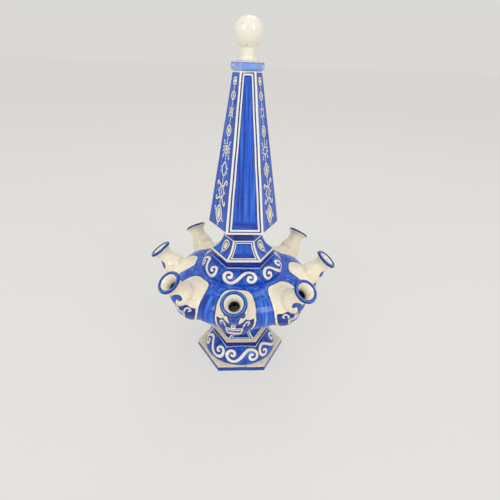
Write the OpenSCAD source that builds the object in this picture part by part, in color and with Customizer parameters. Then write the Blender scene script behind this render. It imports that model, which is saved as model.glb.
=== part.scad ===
// Tulipiere: a hexagonal faience flower vase with a spouted bowl and a lift-off spire.
// Sizes are in millimetres. +Z is up and the origin is the centre of the foot, on the table.
// The flat front face of the spire and the plinth looks along -Y.

/* [Plinth] */
// Corner radius of the hexagonal plinth
plinth_r = 61.5; // [56:0.5:75]
// Height of the plinth
plinth_h = 7.4; // [5:0.1:14]
// Rounding of the plinth's upper and lower edges
plinth_round = 1.2; // [0.6:0.1:2]

/* [Pedestal] */
// Radius of the pedestal dome where it stands on the plinth
dome_r = 49.5; // [47:0.5:52]
// Height of the pedestal dome
dome_rise = 19.5; // [16:0.5:22]
// Corner radius of the cornice at its lower edge
cornice_r_low = 37.5; // [34:0.25:42]
// Corner radius of the cornice at its upper edge
cornice_r_top = 39.2; // [36:0.2:46]
// Height of the cornice
cornice_h = 6.9; // [4:0.1:12]
// Thickness of the pedestal walls
pedestal_wall = 6; // [4:0.25:8]

/* [Stem] */
// Corner radius of the stem where it stands on the cornice
stem_foot_r = 33.3; // [28:0.1:35]
// Thickness of the rim at the stem's foot
stem_rim_h = 1; // [0.5:0.1:2.5]
// Corner radius of the stem at its waist
stem_waist_r = 19.6; // [16:0.1:23]
// Corner radius of the stem under the bowl
stem_top_r = 24; // [23.5:0.1:34]
// Height of the stem
stem_h = 53.6; // [40:0.2:80]
// Radius of the firing hole up the middle of the stem
stem_bore_r = 9; // [5:0.25:11]

/* [Bowl] */
// Greatest radius of the bowl
bowl_r = 89; // [86:0.5:96]
// Half of the bowl's height
bowl_half_h = 24.6; // [22.5:0.1:27]
// Profile radius round the bowl's widest line
bowl_edge_round = 20; // [16:0.25:21.5]
// Radius of the flat land on the bowl's top and underside
bowl_land_r = 54.5; // [53:0.25:60]
// Thickness of the bowl, shoulder and neck walls
bowl_wall = 5; // [3.5:0.1:6]

/* [Shoulder] */
// Radius of the shoulder dome where it stands on the bowl
shoulder_r = 51.8; // [49:0.1:52.8]
// Height of the shoulder dome
shoulder_rise = 12.6; // [10:0.1:16]
// Corner radius of the step at its lower edge
step_r_low = 39.4; // [37:0.1:43]
// Corner radius of the step at its upper edge
step_r_top = 40.2; // [38:0.1:46]
// Height of the step
step_h = 10.9; // [6:0.1:16]
// Corner radius of the skirt at its top
skirt_top_r = 24; // [23.5:0.1:30]
// Height of the skirt
skirt_h = 23.1; // [18:0.1:32]
// Corner radius of the recessed neck
neck_r = 23.4; // [22.4:0.1:28]
// Height of the recessed neck
neck_h = 12; // [8:0.1:18]
// Radius of the round mouth in the neck
mouth_r = 16.4; // [13:0.1:16.8]

/* [Spire] */
// Corner radius of the spire at its foot
spire_r_low = 42.3; // [39:0.1:50]
// Corner radius of the spire at its top
spire_r_top = 15; // [13:0.1:18]
// Height of the spire
spire_h = 165; // [130:1:200]
// Thickness of the spire walls
spire_wall = 5; // [3.5:0.1:6]
// Thickness of the floor plate in the foot of the spire
floor_h = 5; // [3:0.25:8]
// Length of the spigot below the spire
spigot_h = 20; // [12:0.5:30]
// Thickness of the spigot tube
spigot_wall = 4; // [2.5:0.25:6]
// Clearance all round the spigot in the neck's mouth
spigot_clear = 0.6; // [0.4:0.1:1.2]
// Gap under the spire where it sits on the neck
seat_gap = 0.3; // [0.2:0.05:0.6]

/* [Collar and finial] */
// Corner radius of the rounded collar on the spire
collar_r = 18.2; // [16:0.1:22]
// Height of the collar
collar_h = 8.5; // [7:0.1:12]
// Rounding of the collar's upper and lower edges
collar_round = 3.2; // [1:0.1:3.4]
// Radius of the finial's flared foot
finial_foot_r = 11.5; // [10:0.1:14]
// Thickness of the rim of the finial's foot
finial_rim_h = 0.8; // [0.5:0.1:2.5]
// Radius of the finial's neck
finial_neck_r = 7.7; // [6:0.1:9]
// Height of the finial's foot and neck
finial_neck_h = 10.5; // [8:0.1:16]
// Radius of the finial ball
ball_r = 15.2; // [14.2:0.1:19]
// Half of the finial ball's height
ball_half_h = 13.9; // [11:0.1:15]

/* [Spouts] */
// Turn of the ring of spouts about the vertical axis
spout_turn = -7; // [-20:0.5:20]
// Rise of a spout's axis above the horizontal
spout_tilt = 53; // [48:0.5:58]
// How far the middle of a spout's rim lies out past the bowl's widest line
rim_out = 18.6; // [16:0.2:21]
// Height of the middle of a spout's rim above the bowl's widest line
rim_rise = 40.2; // [38:0.1:43]
// Outer radius of a spout's rim
rim_r = 14.2; // [13.6:0.1:16.2]
// Rounding radius of the rim's rolled lip
lip_round = 2.3; // [1.6:0.1:2.6]
// How far the lip stands out past the flare below it
lip_overhang = 0.6; // [0.3:0.1:1]
// Inner radius of a spout's mouth
mouth_in_r = 11.4; // [10:0.1:12]
// Depth of the funnel from the rim to the throat
funnel_h = 12; // [8:0.25:16]
// Radius of the throat that holds a flower stem
throat_r = 6; // [4:0.1:6.6]
// Outer radius of a spout at its waist
waist_r = 9.5; // [8.6:0.1:10.6]
// Distance from the rim down to the waist
waist_drop = 11; // [9:0.25:13]
// Radius of the globe at a spout's root
globe_r = 14.6; // [13.8:0.1:15.4]
// Distance from the rim down to the middle of the globe
globe_drop = 29; // [27:0.2:30.5]
// Thickness of the globe's wall
globe_wall = 4.2; // [3.6:0.1:4.8]
// Outer radius of the root tube that passes through the bowl
root_r = 10.6; // [9.8:0.1:11.4]
// Thickness of the root tube
root_wall = 2.8; // [2:0.1:3.4]
// Length of the root tube past the globe
root_stub = 2; // [1:0.1:4]

/* [Bosses] */
// Radius of the round boss below a spout
boss_r = 24; // [22.5:0.1:26]
// How far a boss stands out past the bowl's widest line
boss_proud = 9; // [7:0.1:11]
// How far the top of a boss's round stands above the bowl's crown
boss_lift = 4.5; // [2:0.1:5.5]
// Width of the joint between pieces that are luted on a curve
lute_gap = 0.12; // [0.08:0.01:0.3]

/* [Hidden] */
$fn = 96;
SPOUT_NODES = [for (i = [1:8]) str("spout_", i)];
BOSS_NODES = [for (i = [1:8]) str("spout_boss_", i)];

// Azimuth step between spouts, and the azimuth of the first spout, at the front
spout_step = 360 / len(SPOUT_NODES);
spout_front = -90 + spout_turn;

// Extra length by which a cutting shape passes through the face it cuts
pass = 1;

// Heights of the seats, from the table up
z_dome = plinth_h;
z_cornice = z_dome + dome_rise;
z_stem = z_cornice + cornice_h;
z_bowl = z_stem + stem_h;
z_mid = z_bowl + bowl_half_h;
z_shoulder = z_mid + bowl_half_h;
z_step = z_shoulder + shoulder_rise;
z_skirt = z_step + step_h;
z_neck = z_skirt + skirt_h;
z_mouth = z_neck + neck_h;
z_spire = z_mouth + seat_gap;
z_collar = z_spire + spire_h;
z_finial = z_collar + collar_h;
z_ball = z_finial + finial_neck_h + ball_half_h;

// Bores of the hollow vessel, from the bowl's land up to the neck
land_bore_r = shoulder_r - bowl_wall;
step_bore_r = apothem(step_r_low) - bowl_wall;
skirt_bore_r = mouth_r;

// The bowl's profile: an edge arc and a crown arc that meet smoothly
edge_c = bowl_r - bowl_edge_round;
edge_out = edge_c - bowl_land_r;
crown_round = (pow(edge_out, 2) + pow(bowl_half_h, 2) - pow(bowl_edge_round, 2))
    / (2 * (bowl_half_h - bowl_edge_round));
crown_drop = crown_round - bowl_half_h;
meet_angle = atan2(crown_drop, edge_out);

// The middle of a boss's round, measured from the axis and above the bowl's widest line
boss_ring_r = bowl_r + boss_proud - boss_r;
boss_rise = crown_height(boss_ring_r) + boss_lift - boss_r;

// Distance from the vertical axis to the middle of a spout's rim
rim_ring_r = bowl_r + rim_out;

// The spout's profile arcs, each upright at the waist
lip_c = rim_r - lip_round;
lip_turn = 70;
flare_round = arc_radius(rim_r - lip_overhang - waist_r, waist_drop - lip_round);
flare_turn = asin((waist_drop - 2 * lip_round) / flare_round);
swell_round = (pow(waist_r, 2) + pow(globe_drop - waist_drop, 2) - pow(globe_r, 2))
    / (2 * (globe_r - waist_r));
swell_c = waist_r + swell_round;
swell_turn = atan2(globe_drop - waist_drop, swell_c);
funnel_round = arc_radius(mouth_in_r - throat_r, funnel_h);
funnel_turn = asin(funnel_h / funnel_round);

// The globe's chamber, and the root tube below it
chamber_r = globe_r - globe_wall;
root_in_r = root_r - root_wall;
globe_low = acos(root_r / globe_r);
root_drop = globe_drop + globe_r * sin(globe_low) + root_stub;

// Steps along the round stretches of the profiles
edge_steps = 8;
crown_steps = 6;
crown_start = meet_angle + (90 - meet_angle) / (crown_steps + 1);
spout_steps = 6;
swell_step = swell_turn / spout_steps;
bed_steps = 4;
round_steps = 5;

// Distance from a hexagon's middle to its flat, for a corner radius r
function apothem(r) = r * cos(30);

// Points along an arc about c, from angle a0 to a1 in n steps
function arc_points(c, r, a0, a1, n) =
    [for (i = [0:n]) let (a = a0 + (a1 - a0) * i / n) c + r * [cos(a), sin(a)]];

// The same points in the other order
function flipped(points) = [for (i = [len(points) - 1:-1:0]) points[i]];

// Height of the bowl's crown above its widest line, at a distance r from the axis
function crown_height(r) = sqrt(pow(crown_round, 2) - pow(r - bowl_land_r, 2)) - crown_drop;

// Outline of the bowl above its widest line, from there up to the land, grown by "grow"
function half_bowl_outline(grow) = concat(
    arc_points([edge_c, 0], bowl_edge_round + grow, 0, meet_angle, edge_steps),
    arc_points([bowl_land_r, -crown_drop], crown_round + grow, crown_start, 90, crown_steps));

// Outside of a spout, down from the top of its lip to the foot of its root tube
function spout_outside() = concat(
    arc_points([lip_c, -lip_round], lip_round, 90, -lip_turn, spout_steps),
    arc_points([waist_r + flare_round, -waist_drop], flare_round, 180 - flare_turn, 180, spout_steps),
    arc_points([swell_c, -waist_drop], swell_round, 180 + swell_step, 180 + swell_turn, spout_steps),
    arc_points([0, -globe_drop], globe_r, swell_turn - swell_step, -globe_low, spout_steps),
    [[root_r, -root_drop]]);

// The way through a spout, up from its root tube through the chamber and throat to its mouth
function spout_inside() = concat(
    [[root_in_r, -root_drop]],
    arc_points([0, -globe_drop], chamber_r, -acos(root_in_r / chamber_r), acos(throat_r / chamber_r), spout_steps),
    arc_points([throat_r + funnel_round, -funnel_h], funnel_round, 180, 180 - funnel_turn, spout_steps));

// Radius of an arc that starts upright and runs out by "out" over a rise of "rise"
function arc_radius(out, rise) = (pow(out, 2) + pow(rise, 2)) / (2 * out);

// A hexagonal solid whose flats follow a profile drawn on both sides of its axis
module hexagonal(reach) {
    intersection() {
        profile_strip(reach, 30) children();
        profile_strip(reach, 90) children();
        profile_strip(reach, 150) children();
    }
}

// The profile drawn out sideways, so that its two sides make one pair of flats
module profile_strip(reach, turn) {
    rotate([0, 0, turn])
        rotate([90, 0, 0])
            linear_extrude(4 * reach, center = true)
                children();
}

// A profile with straight sloping sides, from half width w0 at z0 to w1 at z1
module sloping_profile(w0, z0, w1, z1) {
    polygon([[-w0, z0], [w0, z0], [w1, z1], [-w1, z1]]);
}

// An upright profile of half width w from z0 to z1, with its four corners rounded
module rounded_profile(w, z0, z1, round) {
    polygon(concat(
        arc_points([w - round, z0 + round], round, -90, 0, round_steps),
        arc_points([w - round, z1 - round], round, 0, 90, round_steps),
        arc_points([round - w, z1 - round], round, 90, 180, round_steps),
        arc_points([round - w, z0 + round], round, 180, 270, round_steps)));
}

// A profile band from z0 to z1 with hollow sides cut by circles of one radius
module hollow_sided_band(half_width, z0, z1, side_c, side_z, side_round) {
    difference() {
        translate([-half_width, z0])
            square([2 * half_width, z1 - z0]);
        for (side = [-1, 1])
            translate([side * side_c, side_z])
                circle(side_round);
    }
}

// An upright round bore through a stack of pieces
module round_bore(r, z0, z1) {
    translate([0, 0, z0 - pass])
        cylinder(r = r, h = z1 - z0 + 2 * pass);
}

// A quarter-round dome on its own foot plane
module quarter_round(r, rise) {
    rotate_extrude() {
        square([r - rise, rise]);
        intersection() {
            translate([r - rise, 0])
                circle(rise);
            square([r, rise]);
        }
    }
}

// The whole outside of the bowl, grown by "grow"
module bowl_envelope(grow) {
    upper = half_bowl_outline(grow);
    lower = [for (p = flipped(upper)) if (p.y > 0) [p.x, -p.y]];
    translate([0, 0, z_mid])
        rotate_extrude()
            polygon(concat(upper, [[0, bowl_half_h + grow], [0, -bowl_half_h - grow]], lower));
}

// Half of the bowl's wall, above its widest line, with a hole of radius hole_r in the land
module half_bowl_wall(hole_r) {
    rim = [[hole_r, bowl_half_h], [hole_r, bowl_half_h - bowl_wall]];
    rotate_extrude()
        polygon(concat(half_bowl_outline(0), rim, flipped(half_bowl_outline(-bowl_wall))));
}

// Places a spout, drawn down its own axis from the rim, at place i on the ring
module at_spout(i) {
    rotate([0, 0, spout_front + (i - 1) * spout_step])
        translate([rim_ring_r, 0, z_mid + rim_rise])
            rotate([0, 90 - spout_tilt, 0])
                children();
}

// The bed that a spout's globe and root tube take in the boss and the bowl below it
module spout_bed() {
    bed_r = globe_r + lute_gap;
    hole_r = root_r + lute_gap;
    bed_low = acos(hole_r / bed_r);
    bed_round = bed_r / cos(bed_low / bed_steps / 2);
    translate([0, 0, -globe_drop])
        rotate_extrude()
            polygon(concat(
                [[0, bed_r], [0, -2 * bed_r], [hole_r, -2 * bed_r]],
                arc_points([0, 0], bed_round, -bed_low, 0, bed_steps),
                [[bed_round, bed_r]]));
}

// Hexagonal slab that the vase stands on, open below the pedestal
module plinth() {
    flat = apothem(plinth_r);
    color("royalblue")
        difference() {
            hexagonal(plinth_r)
                rounded_profile(flat, 0, plinth_h, plinth_round);
            round_bore(dome_r - pedestal_wall, 0, plinth_h);
        }
}

// Quarter-round dome between the plinth and the cornice, hollow below
module pedestal_dome() {
    color("royalblue")
        translate([0, 0, z_dome])
            difference() {
                quarter_round(dome_r, dome_rise);
                quarter_round(dome_r - pedestal_wall, dome_rise - pedestal_wall);
                round_bore(stem_bore_r, 0, dome_rise);
            }
}

// Hexagonal band that carries the stem
module pedestal_cornice() {
    color("mediumblue")
        difference() {
            hexagonal(cornice_r_top)
                sloping_profile(apothem(cornice_r_low), z_cornice, apothem(cornice_r_top), z_stem);
            round_bore(stem_bore_r, z_cornice, z_stem);
        }
}

// Hexagonal stem with hollow flanks: a tight sweep off the ledge, then a slow swell to the bowl
module stem() {
    foot = apothem(stem_foot_r);
    waist = apothem(stem_waist_r);
    top = apothem(stem_top_r);
    sweep = foot - waist;
    z_waist = z_stem + stem_rim_h + sweep;
    swell = arc_radius(top - waist, z_bowl - z_waist);
    color("cornflowerblue")
        difference() {
            union() {
                hexagonal(stem_foot_r)
                    hollow_sided_band(foot, z_stem, z_waist, foot, z_waist, sweep);
                hexagonal(stem_foot_r)
                    hollow_sided_band(top, z_waist, z_bowl, waist + swell, z_waist, swell);
                translate([0, 0, z_stem])
                    cylinder(r = waist - pass, h = stem_h);
            }
            round_bore(stem_bore_r, z_stem, z_bowl);
        }
}

// Lower half of the bowl, a dish with a flat floor
module bowl_lower() {
    color("royalblue")
        translate([0, 0, z_mid])
            mirror([0, 0, 1])
                half_bowl_wall(0);
}

// Upper half of the bowl, with the land for the shoulder and a bed for each spout
module bowl_upper() {
    color("royalblue")
        difference() {
            translate([0, 0, z_mid])
                half_bowl_wall(land_bore_r);
            for (i = [1:len(SPOUT_NODES)])
                at_spout(i)
                    spout_bed();
        }
}

// Quarter-round dome on the bowl's land
module shoulder_dome() {
    color("royalblue")
        translate([0, 0, z_shoulder])
            difference() {
                quarter_round(shoulder_r, shoulder_rise);
                quarter_round(shoulder_r - bowl_wall, shoulder_rise - bowl_wall);
                round_bore(step_bore_r, 0, shoulder_rise);
            }
}

// Hexagonal step between the shoulder dome and the skirt
module shoulder_step() {
    color("mediumblue")
        difference() {
            hexagonal(step_r_top)
                sloping_profile(apothem(step_r_low), z_step, apothem(step_r_top), z_skirt);
            round_bore(step_bore_r, z_step, z_skirt);
        }
}

// Hexagonal skirt with hollow flanks, upright where it meets the neck
module shoulder_skirt() {
    foot = apothem(step_r_top);
    top = apothem(skirt_top_r);
    sweep = arc_radius(foot - top, skirt_h);
    color("cornflowerblue")
        difference() {
            hexagonal(step_r_top)
                hollow_sided_band(foot, z_skirt, z_neck, top + sweep, z_neck, sweep);
            round_bore(skirt_bore_r, z_skirt, z_neck);
        }
}

// Recessed hexagonal neck with the round mouth for the spire
module neck() {
    flat = apothem(neck_r);
    color("midnightblue")
        difference() {
            hexagonal(neck_r)
                sloping_profile(flat, z_neck, flat, z_mouth);
            round_bore(mouth_r, z_neck, z_mouth);
        }
}

// One spout: rolled lip, flared neck and globe on a root tube
module spout(i) {
    color("ivory")
        at_spout(i)
            rotate_extrude()
                polygon(concat(spout_outside(), spout_inside()));
}

// One boss: the round relief below a spout, bedded on the bowl
module spout_boss(i) {
    color("ivory")
        difference() {
            rotate([0, 0, spout_front + (i - 1) * spout_step])
                translate([boss_ring_r, 0, z_mid + boss_rise])
                    rotate([0, 90 - spout_tilt, 0])
                        sphere(boss_r);
            bowl_envelope(lute_gap);
            at_spout(i)
                spout_bed();
        }
}

// Hollow six-sided spire, open below
module spire() {
    foot = apothem(spire_r_low);
    top = apothem(spire_r_top);
    slant = sqrt(1 + pow((foot - top) / spire_h, 2));
    inset = spire_wall * slant;
    lean = (foot - top) / spire_h;
    z_inside = z_collar - spire_wall;
    color("royalblue")
        difference() {
            hexagonal(spire_r_low)
                sloping_profile(foot, z_spire, top, z_collar);
            hexagonal(spire_r_low)
                sloping_profile(
                    foot - inset + lean * pass, z_spire - pass,
                    top - inset + lean * spire_wall, z_inside);
        }
}

// Floor plate in the foot of the spire, with the spigot tube below it
module spire_spigot() {
    foot = apothem(spire_r_low);
    lean = (foot - apothem(spire_r_top)) / spire_h;
    inset = spire_wall * sqrt(1 + lean * lean) + lute_gap;
    tube_r = mouth_r - spigot_clear;
    color("ivory")
        difference() {
            union() {
                hexagonal(spire_r_low)
                    sloping_profile(foot - inset, z_spire, foot - inset - lean * floor_h, z_spire + floor_h);
                translate([0, 0, z_spire - spigot_h])
                    cylinder(r = tube_r, h = spigot_h + floor_h);
            }
            round_bore(tube_r - spigot_wall, z_spire - spigot_h, z_spire + floor_h);
        }
}

// Rounded hexagonal collar on top of the spire
module spire_collar() {
    flat = apothem(collar_r);
    color("lightsteelblue")
        hexagonal(collar_r)
            rounded_profile(flat, z_collar, z_finial, collar_round);
}

// Turned finial: flared foot, neck and a slightly flattened ball
module finial() {
    sweep = finial_foot_r - finial_neck_r;
    ball_c = ball_r - ball_half_h;
    color("ivory")
        rotate_extrude() {
            translate([0, z_finial])
                square([finial_foot_r, finial_rim_h]);
            translate([0, z_finial])
                square([finial_neck_r, z_ball - z_finial]);
            difference() {
                translate([0, z_finial + finial_rim_h])
                    square([finial_foot_r, sweep]);
                translate([finial_foot_r, z_finial + finial_rim_h + sweep])
                    circle(sweep);
            }
            translate([0, z_ball - ball_half_h])
                square([ball_c, 2 * ball_half_h]);
            intersection() {
                translate([ball_c, z_ball])
                    circle(ball_half_h);
                translate([0, z_ball - ball_half_h])
                    square([ball_r, 2 * ball_half_h]);
            }
        }
}

plinth();
pedestal_dome();
pedestal_cornice();
stem();
bowl_lower();
bowl_upper();
shoulder_dome();
shoulder_step();
shoulder_skirt();
neck();
for (i = [1:len(SPOUT_NODES)]) {
    spout(i);
    spout_boss(i);
}
spire();
spire_spigot();
spire_collar();
finial();
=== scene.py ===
"""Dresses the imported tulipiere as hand-painted faience and sets up its studio.

Sizes are in millimetres until a mesh is made. +Z is up and the front of the vase looks along -Y.
"""
import logging
import math
from dataclasses import dataclass, field
from enum import Enum

import bpy
import numpy as np
from mathutils import Matrix, Vector


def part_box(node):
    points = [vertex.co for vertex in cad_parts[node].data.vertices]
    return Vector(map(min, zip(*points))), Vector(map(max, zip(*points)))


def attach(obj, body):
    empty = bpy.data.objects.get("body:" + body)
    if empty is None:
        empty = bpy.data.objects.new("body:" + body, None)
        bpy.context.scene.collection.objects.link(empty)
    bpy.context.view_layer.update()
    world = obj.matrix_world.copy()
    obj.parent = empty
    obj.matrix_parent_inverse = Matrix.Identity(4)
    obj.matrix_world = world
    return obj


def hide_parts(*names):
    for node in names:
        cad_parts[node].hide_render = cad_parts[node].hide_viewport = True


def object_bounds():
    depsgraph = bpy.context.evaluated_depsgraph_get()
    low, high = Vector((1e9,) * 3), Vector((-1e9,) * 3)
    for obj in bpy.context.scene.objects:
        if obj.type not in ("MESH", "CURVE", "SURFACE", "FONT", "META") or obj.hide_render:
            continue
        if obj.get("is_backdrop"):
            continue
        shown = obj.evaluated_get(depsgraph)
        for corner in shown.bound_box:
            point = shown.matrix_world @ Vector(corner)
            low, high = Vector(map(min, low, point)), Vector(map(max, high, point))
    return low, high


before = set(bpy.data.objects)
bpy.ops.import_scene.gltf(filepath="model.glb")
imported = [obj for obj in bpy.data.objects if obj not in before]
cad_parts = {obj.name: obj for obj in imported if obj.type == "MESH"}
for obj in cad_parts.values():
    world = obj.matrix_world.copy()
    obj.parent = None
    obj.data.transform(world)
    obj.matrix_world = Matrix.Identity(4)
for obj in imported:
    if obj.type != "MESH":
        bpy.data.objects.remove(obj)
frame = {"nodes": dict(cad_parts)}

Array = np.ndarray
Colour = tuple[float, float, float]
Spot = tuple[float, float]
Place = tuple[float, float, float]
Socket = bpy.types.NodeSocket
Source = Socket | float

log = logging.getLogger("tulipiere")

MM = 0.001
SIDES = 6
TAN30 = math.tan(math.pi / SIDES)
COS30 = math.cos(math.pi / SIDES)
FRONT = -math.pi / 2
# Longest steps along the plain, the hidden and the painted stretches of a profile
COARSE = 6.0
HIDDEN = 60.0
FINE = 0.6
CORNER_ROUND = 1.1
FILLET_STEPS = 5
EDGE_BLUR = 0.5
LATTICE = 64
LAYERS = ("wash", "trek", "white")
SPOUTS = 8
SPOUT_TURN = -97.0
SPOUT_STEP = 360.0 / SPOUTS
# How far apart the brushwork of two sides lies, so that no two are alike
SIDE_SHIFT = 60.0
# Farther than any mark reaches
FAR = 60.0
# Radius at which the rows of a piece without a bore stop
AXIS_GAP = 2.0


class Body(Enum):
    """The bodies that the pieces ride on."""

    VESSEL = "vessel"
    SPIRE = "spire"


class Slot(Enum):
    """Material slots of the CAD nodes, which each piece holds though nothing here reads them."""

    COBALT = "cobalt_glaze"
    DEEP = "deep_cobalt_glaze"
    PALE = "pale_cobalt_glaze"
    CREAM = "cream_glaze"


def srgb(red: int, green: int, blue: int) -> Colour:
    """Turns a colour of 0 to 255 per channel into linear light.

    Args:
        red: Red channel.
        green: Green channel.
        blue: Blue channel.

    Returns:
        The linear colour.
    """
    def linear(value: int) -> float:
        """Gives one channel in linear light."""
        share = value / 255
        return share / 12.92 if share <= 0.04045 else ((share + 0.055) / 1.055) ** 2.4

    return linear(red), linear(green), linear(blue)


def span(node: str) -> tuple[float, float, float]:
    """Measures a CAD node.

    Args:
        node: Name of the node.

    Returns:
        Its lowest height, highest height and reach along +X.
    """
    low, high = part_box(node)
    return low[2] / MM, high[2] / MM, high[0] / MM


def soft(distance: Array, reach: float | Array, blur: float = EDGE_BLUR) -> Array:
    """Gives the cover of a brush mark.

    Args:
        distance: Distance of each point from the mark's middle.
        reach: Half width of the mark.
        blur: Width over which its edge fades.

    Returns:
        1 inside the mark, 0 outside it.
    """
    share = np.clip((reach - distance) / blur + 0.5, 0.0, 1.0)
    return share * share * (3 - 2 * share)


def between(value: Array, low: float | Array, high: float | Array) -> Array:
    """Gives the cover of a band from low to high."""
    middle = (low + high) / 2
    return soft(np.abs(value - middle), (high - low) / 2)


def arc(centre: Spot, radius: float, start: float, end: float, steps: int) -> list[Spot]:
    """Gives points along an arc.

    Args:
        centre: Middle of the arc.
        radius: Its radius.
        start: First angle in degrees.
        end: Last angle in degrees.
        steps: Number of chords.

    Returns:
        The points, both ends included.
    """
    angles = np.radians(np.linspace(start, end, steps + 1))
    return [(centre[0] + radius * math.cos(a), centre[1] + radius * math.sin(a)) for a in angles]


def upright_arc_radius(out: float, rise: float) -> float:
    """Gives the radius of an arc that starts upright and runs out over a rise."""
    return (out * out + rise * rise) / (2 * out)


def show(name: str, data: bpy.types.ID) -> bpy.types.Object:
    """Puts an object with that data into the scene.

    Args:
        name: Name of the object.
        data: Its mesh, light or camera.

    Returns:
        The object.
    """
    item = bpy.data.objects.new(name, data)
    bpy.context.scene.collection.objects.link(item)
    return item


class Brush:
    """Repeatable unevenness of colour that is laid on by hand."""

    def __init__(self, seed: int) -> None:
        """Fills the lattice.

        Args:
            seed: Seed of the random draws.
        """
        self.table = np.random.default_rng(seed).random((LATTICE, LATTICE))

    def blot(self, x: Array, y: Array) -> Array:
        """Smooth noise with cells of one unit.

        Args:
            x: First coordinate.
            y: Second coordinate.

        Returns:
            Values from 0 to 1.
        """
        column, row = np.floor(x).astype(int), np.floor(y).astype(int)
        fx, fy = x - column, y - row
        fx, fy = fx * fx * (3 - 2 * fx), fy * fy * (3 - 2 * fy)
        c0, c1 = column % LATTICE, (column + 1) % LATTICE
        r0, r1 = row % LATTICE, (row + 1) % LATTICE
        low = self.table[r0, c0] * (1 - fx) + self.table[r0, c1] * fx
        high = self.table[r1, c0] * (1 - fx) + self.table[r1, c1] * fx
        return low * (1 - fy) + high * fy

    def streaks(self, across: Array, along: Array, width: float, length: float) -> Array:
        """Noise drawn out along the brush's way.

        Args:
            across: Distance across the strokes.
            along: Distance along the strokes.
            width: Width of a stroke.
            length: Length over which a stroke changes.

        Returns:
            Values from 0 to 1.
        """
        fine = self.blot(across / width, along / length)
        broad = self.blot(across / (3.3 * width) + 11.5, along / (1.7 * length) + 5.2)
        return 0.68 * fine + 0.32 * broad

    def wobble(self, x: Array, y: Array, amount: float = 0.7, cell: float = 13.0) -> tuple[Array, Array]:
        """Moves points a little, as an unsteady hand does.

        Args:
            x: First coordinate.
            y: Second coordinate.
            amount: Greatest move.
            cell: Length over which the move changes.

        Returns:
            The moved coordinates.
        """
        dx = self.blot(x / cell + 3.1, y / cell + 8.4) - 0.5
        dy = self.blot(x / cell + 21.7, y / cell + 14.9) - 0.5
        return x + amount * dx, y + amount * dy

    def dabs(self, x: Array, y: Array, large: Spot, small: Spot) -> Array:
        """Noise of large and small dabs.

        Args:
            x: First coordinate.
            y: Second coordinate.
            large: Size of a large dab.
            small: Size of a small one.

        Returns:
            Values from 0 to 1.
        """
        first = self.blot(x / large[0], y / large[1])
        second = self.blot(x / small[0] + 9.0, y / small[1])
        return (first + second) / 2


@dataclass(frozen=True)
class Wash:
    """A laid blue: its least strength, what a full stroke adds, and the strokes' size and crowding."""

    thin: float
    gain: float
    width: float
    length: float
    crowding: float = 1.0

    def density(self, brush: Brush, across: Array, along: Array) -> Array:
        """Gives its strength where it is drawn out in strokes.

        Args:
            brush: The hand.
            across: Distance across the strokes.
            along: Distance along the strokes.

        Returns:
            The strength at each point.
        """
        return self.thin + self.gain * brush.streaks(across * self.crowding, along, self.width, self.length)

    def mottle(self, brush: Brush, x: Array, y: Array) -> Array:
        """Gives its strength where it is dabbed on."""
        return self.thin + self.gain * brush.blot(x / self.width, y / self.length)


@dataclass
class Paint:
    """Pigment on a piece's points: cobalt wash, dark line and white line, each from 0 to 1."""

    wash: Array
    trek: Array
    white: Array

    @classmethod
    def bare(cls, shape: tuple[int, ...]) -> "Paint":
        """Gives the unpainted ground for points of that shape."""
        return cls(np.zeros(shape), np.zeros(shape), np.zeros(shape))

    def part(self, rows: slice) -> "Paint":
        """Gives the paint of some rows, which changes with the whole."""
        return Paint(self.wash[rows], self.trek[rows], self.white[rows])

    def flood(self, cover: Array, density: float | Array) -> None:
        """Lays cobalt of that density over what is there.

        Args:
            cover: Where it goes, 0 to 1.
            density: How strong it is.
        """
        self.wash[...] = self.wash * (1 - cover) + density * cover
        self.trek *= 1 - cover
        self.white *= 1 - cover

    def ink(self, cover: Array, strength: float = 0.95) -> None:
        """Draws in the dark trek colour, over white too."""
        self.trek[...] = np.maximum(self.trek, cover * strength)
        self.white *= 1 - cover * strength

    def clear(self, cover: Array, shine: float = 0.0) -> None:
        """Leaves the cream ground, or white of that strength.

        Args:
            cover: Where it goes, 0 to 1.
            shine: Strength of the white.
        """
        self.wash *= 1 - cover
        self.trek *= 1 - cover
        self.white[...] = self.white * (1 - cover) + shine * cover

    def line(self, inset: Array, rim: float = 0.95, shine: float = 1.0) -> None:
        """Draws a pale mark with a dark rim.

        Args:
            inset: Signed distance to the mark's edge, below 0 inside.
            rim: Width of the dark rim.
            shine: White at 1, the cream ground at 0.
        """
        self.ink(soft(inset, rim) * (1 - soft(inset, 0.0)))
        self.clear(soft(inset, 0.0), shine)


@dataclass(frozen=True)
class Stripe:
    """A dark line: the two distances that it lies between, and its strength."""

    low: float
    high: float
    strength: float = 0.95

    def draw(self, paint: Paint, distance: Array) -> None:
        """Draws the line on points at those distances."""
        paint.ink(between(distance, self.low, self.high), self.strength)


@dataclass(frozen=True)
class Turn:
    """One corner of a profile: how far out, how high, hexagonal or round, and how it is rounded off."""

    reach: float
    height: float
    hexed: float = 1.0
    fillet: float = 0.0
    step: float = COARSE


@dataclass
class Rows:
    """A profile drawn out into the rows of a mesh."""

    reach: Array
    height: Array
    hexed: Array
    run: Array
    stops: Array

    def between(self, first: int, last: int) -> slice:
        """Gives the rows from one corner of the profile to another.

        Args:
            first: Number of the first corner.
            last: Number of the last corner.

        Returns:
            The rows.
        """
        low, high = self.stops[first] - 1e-6, self.stops[last] + 1e-6
        found = np.nonzero((self.run >= low) & (self.run <= high))[0]
        return slice(int(found[0]), int(found[-1]) + 1)


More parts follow.
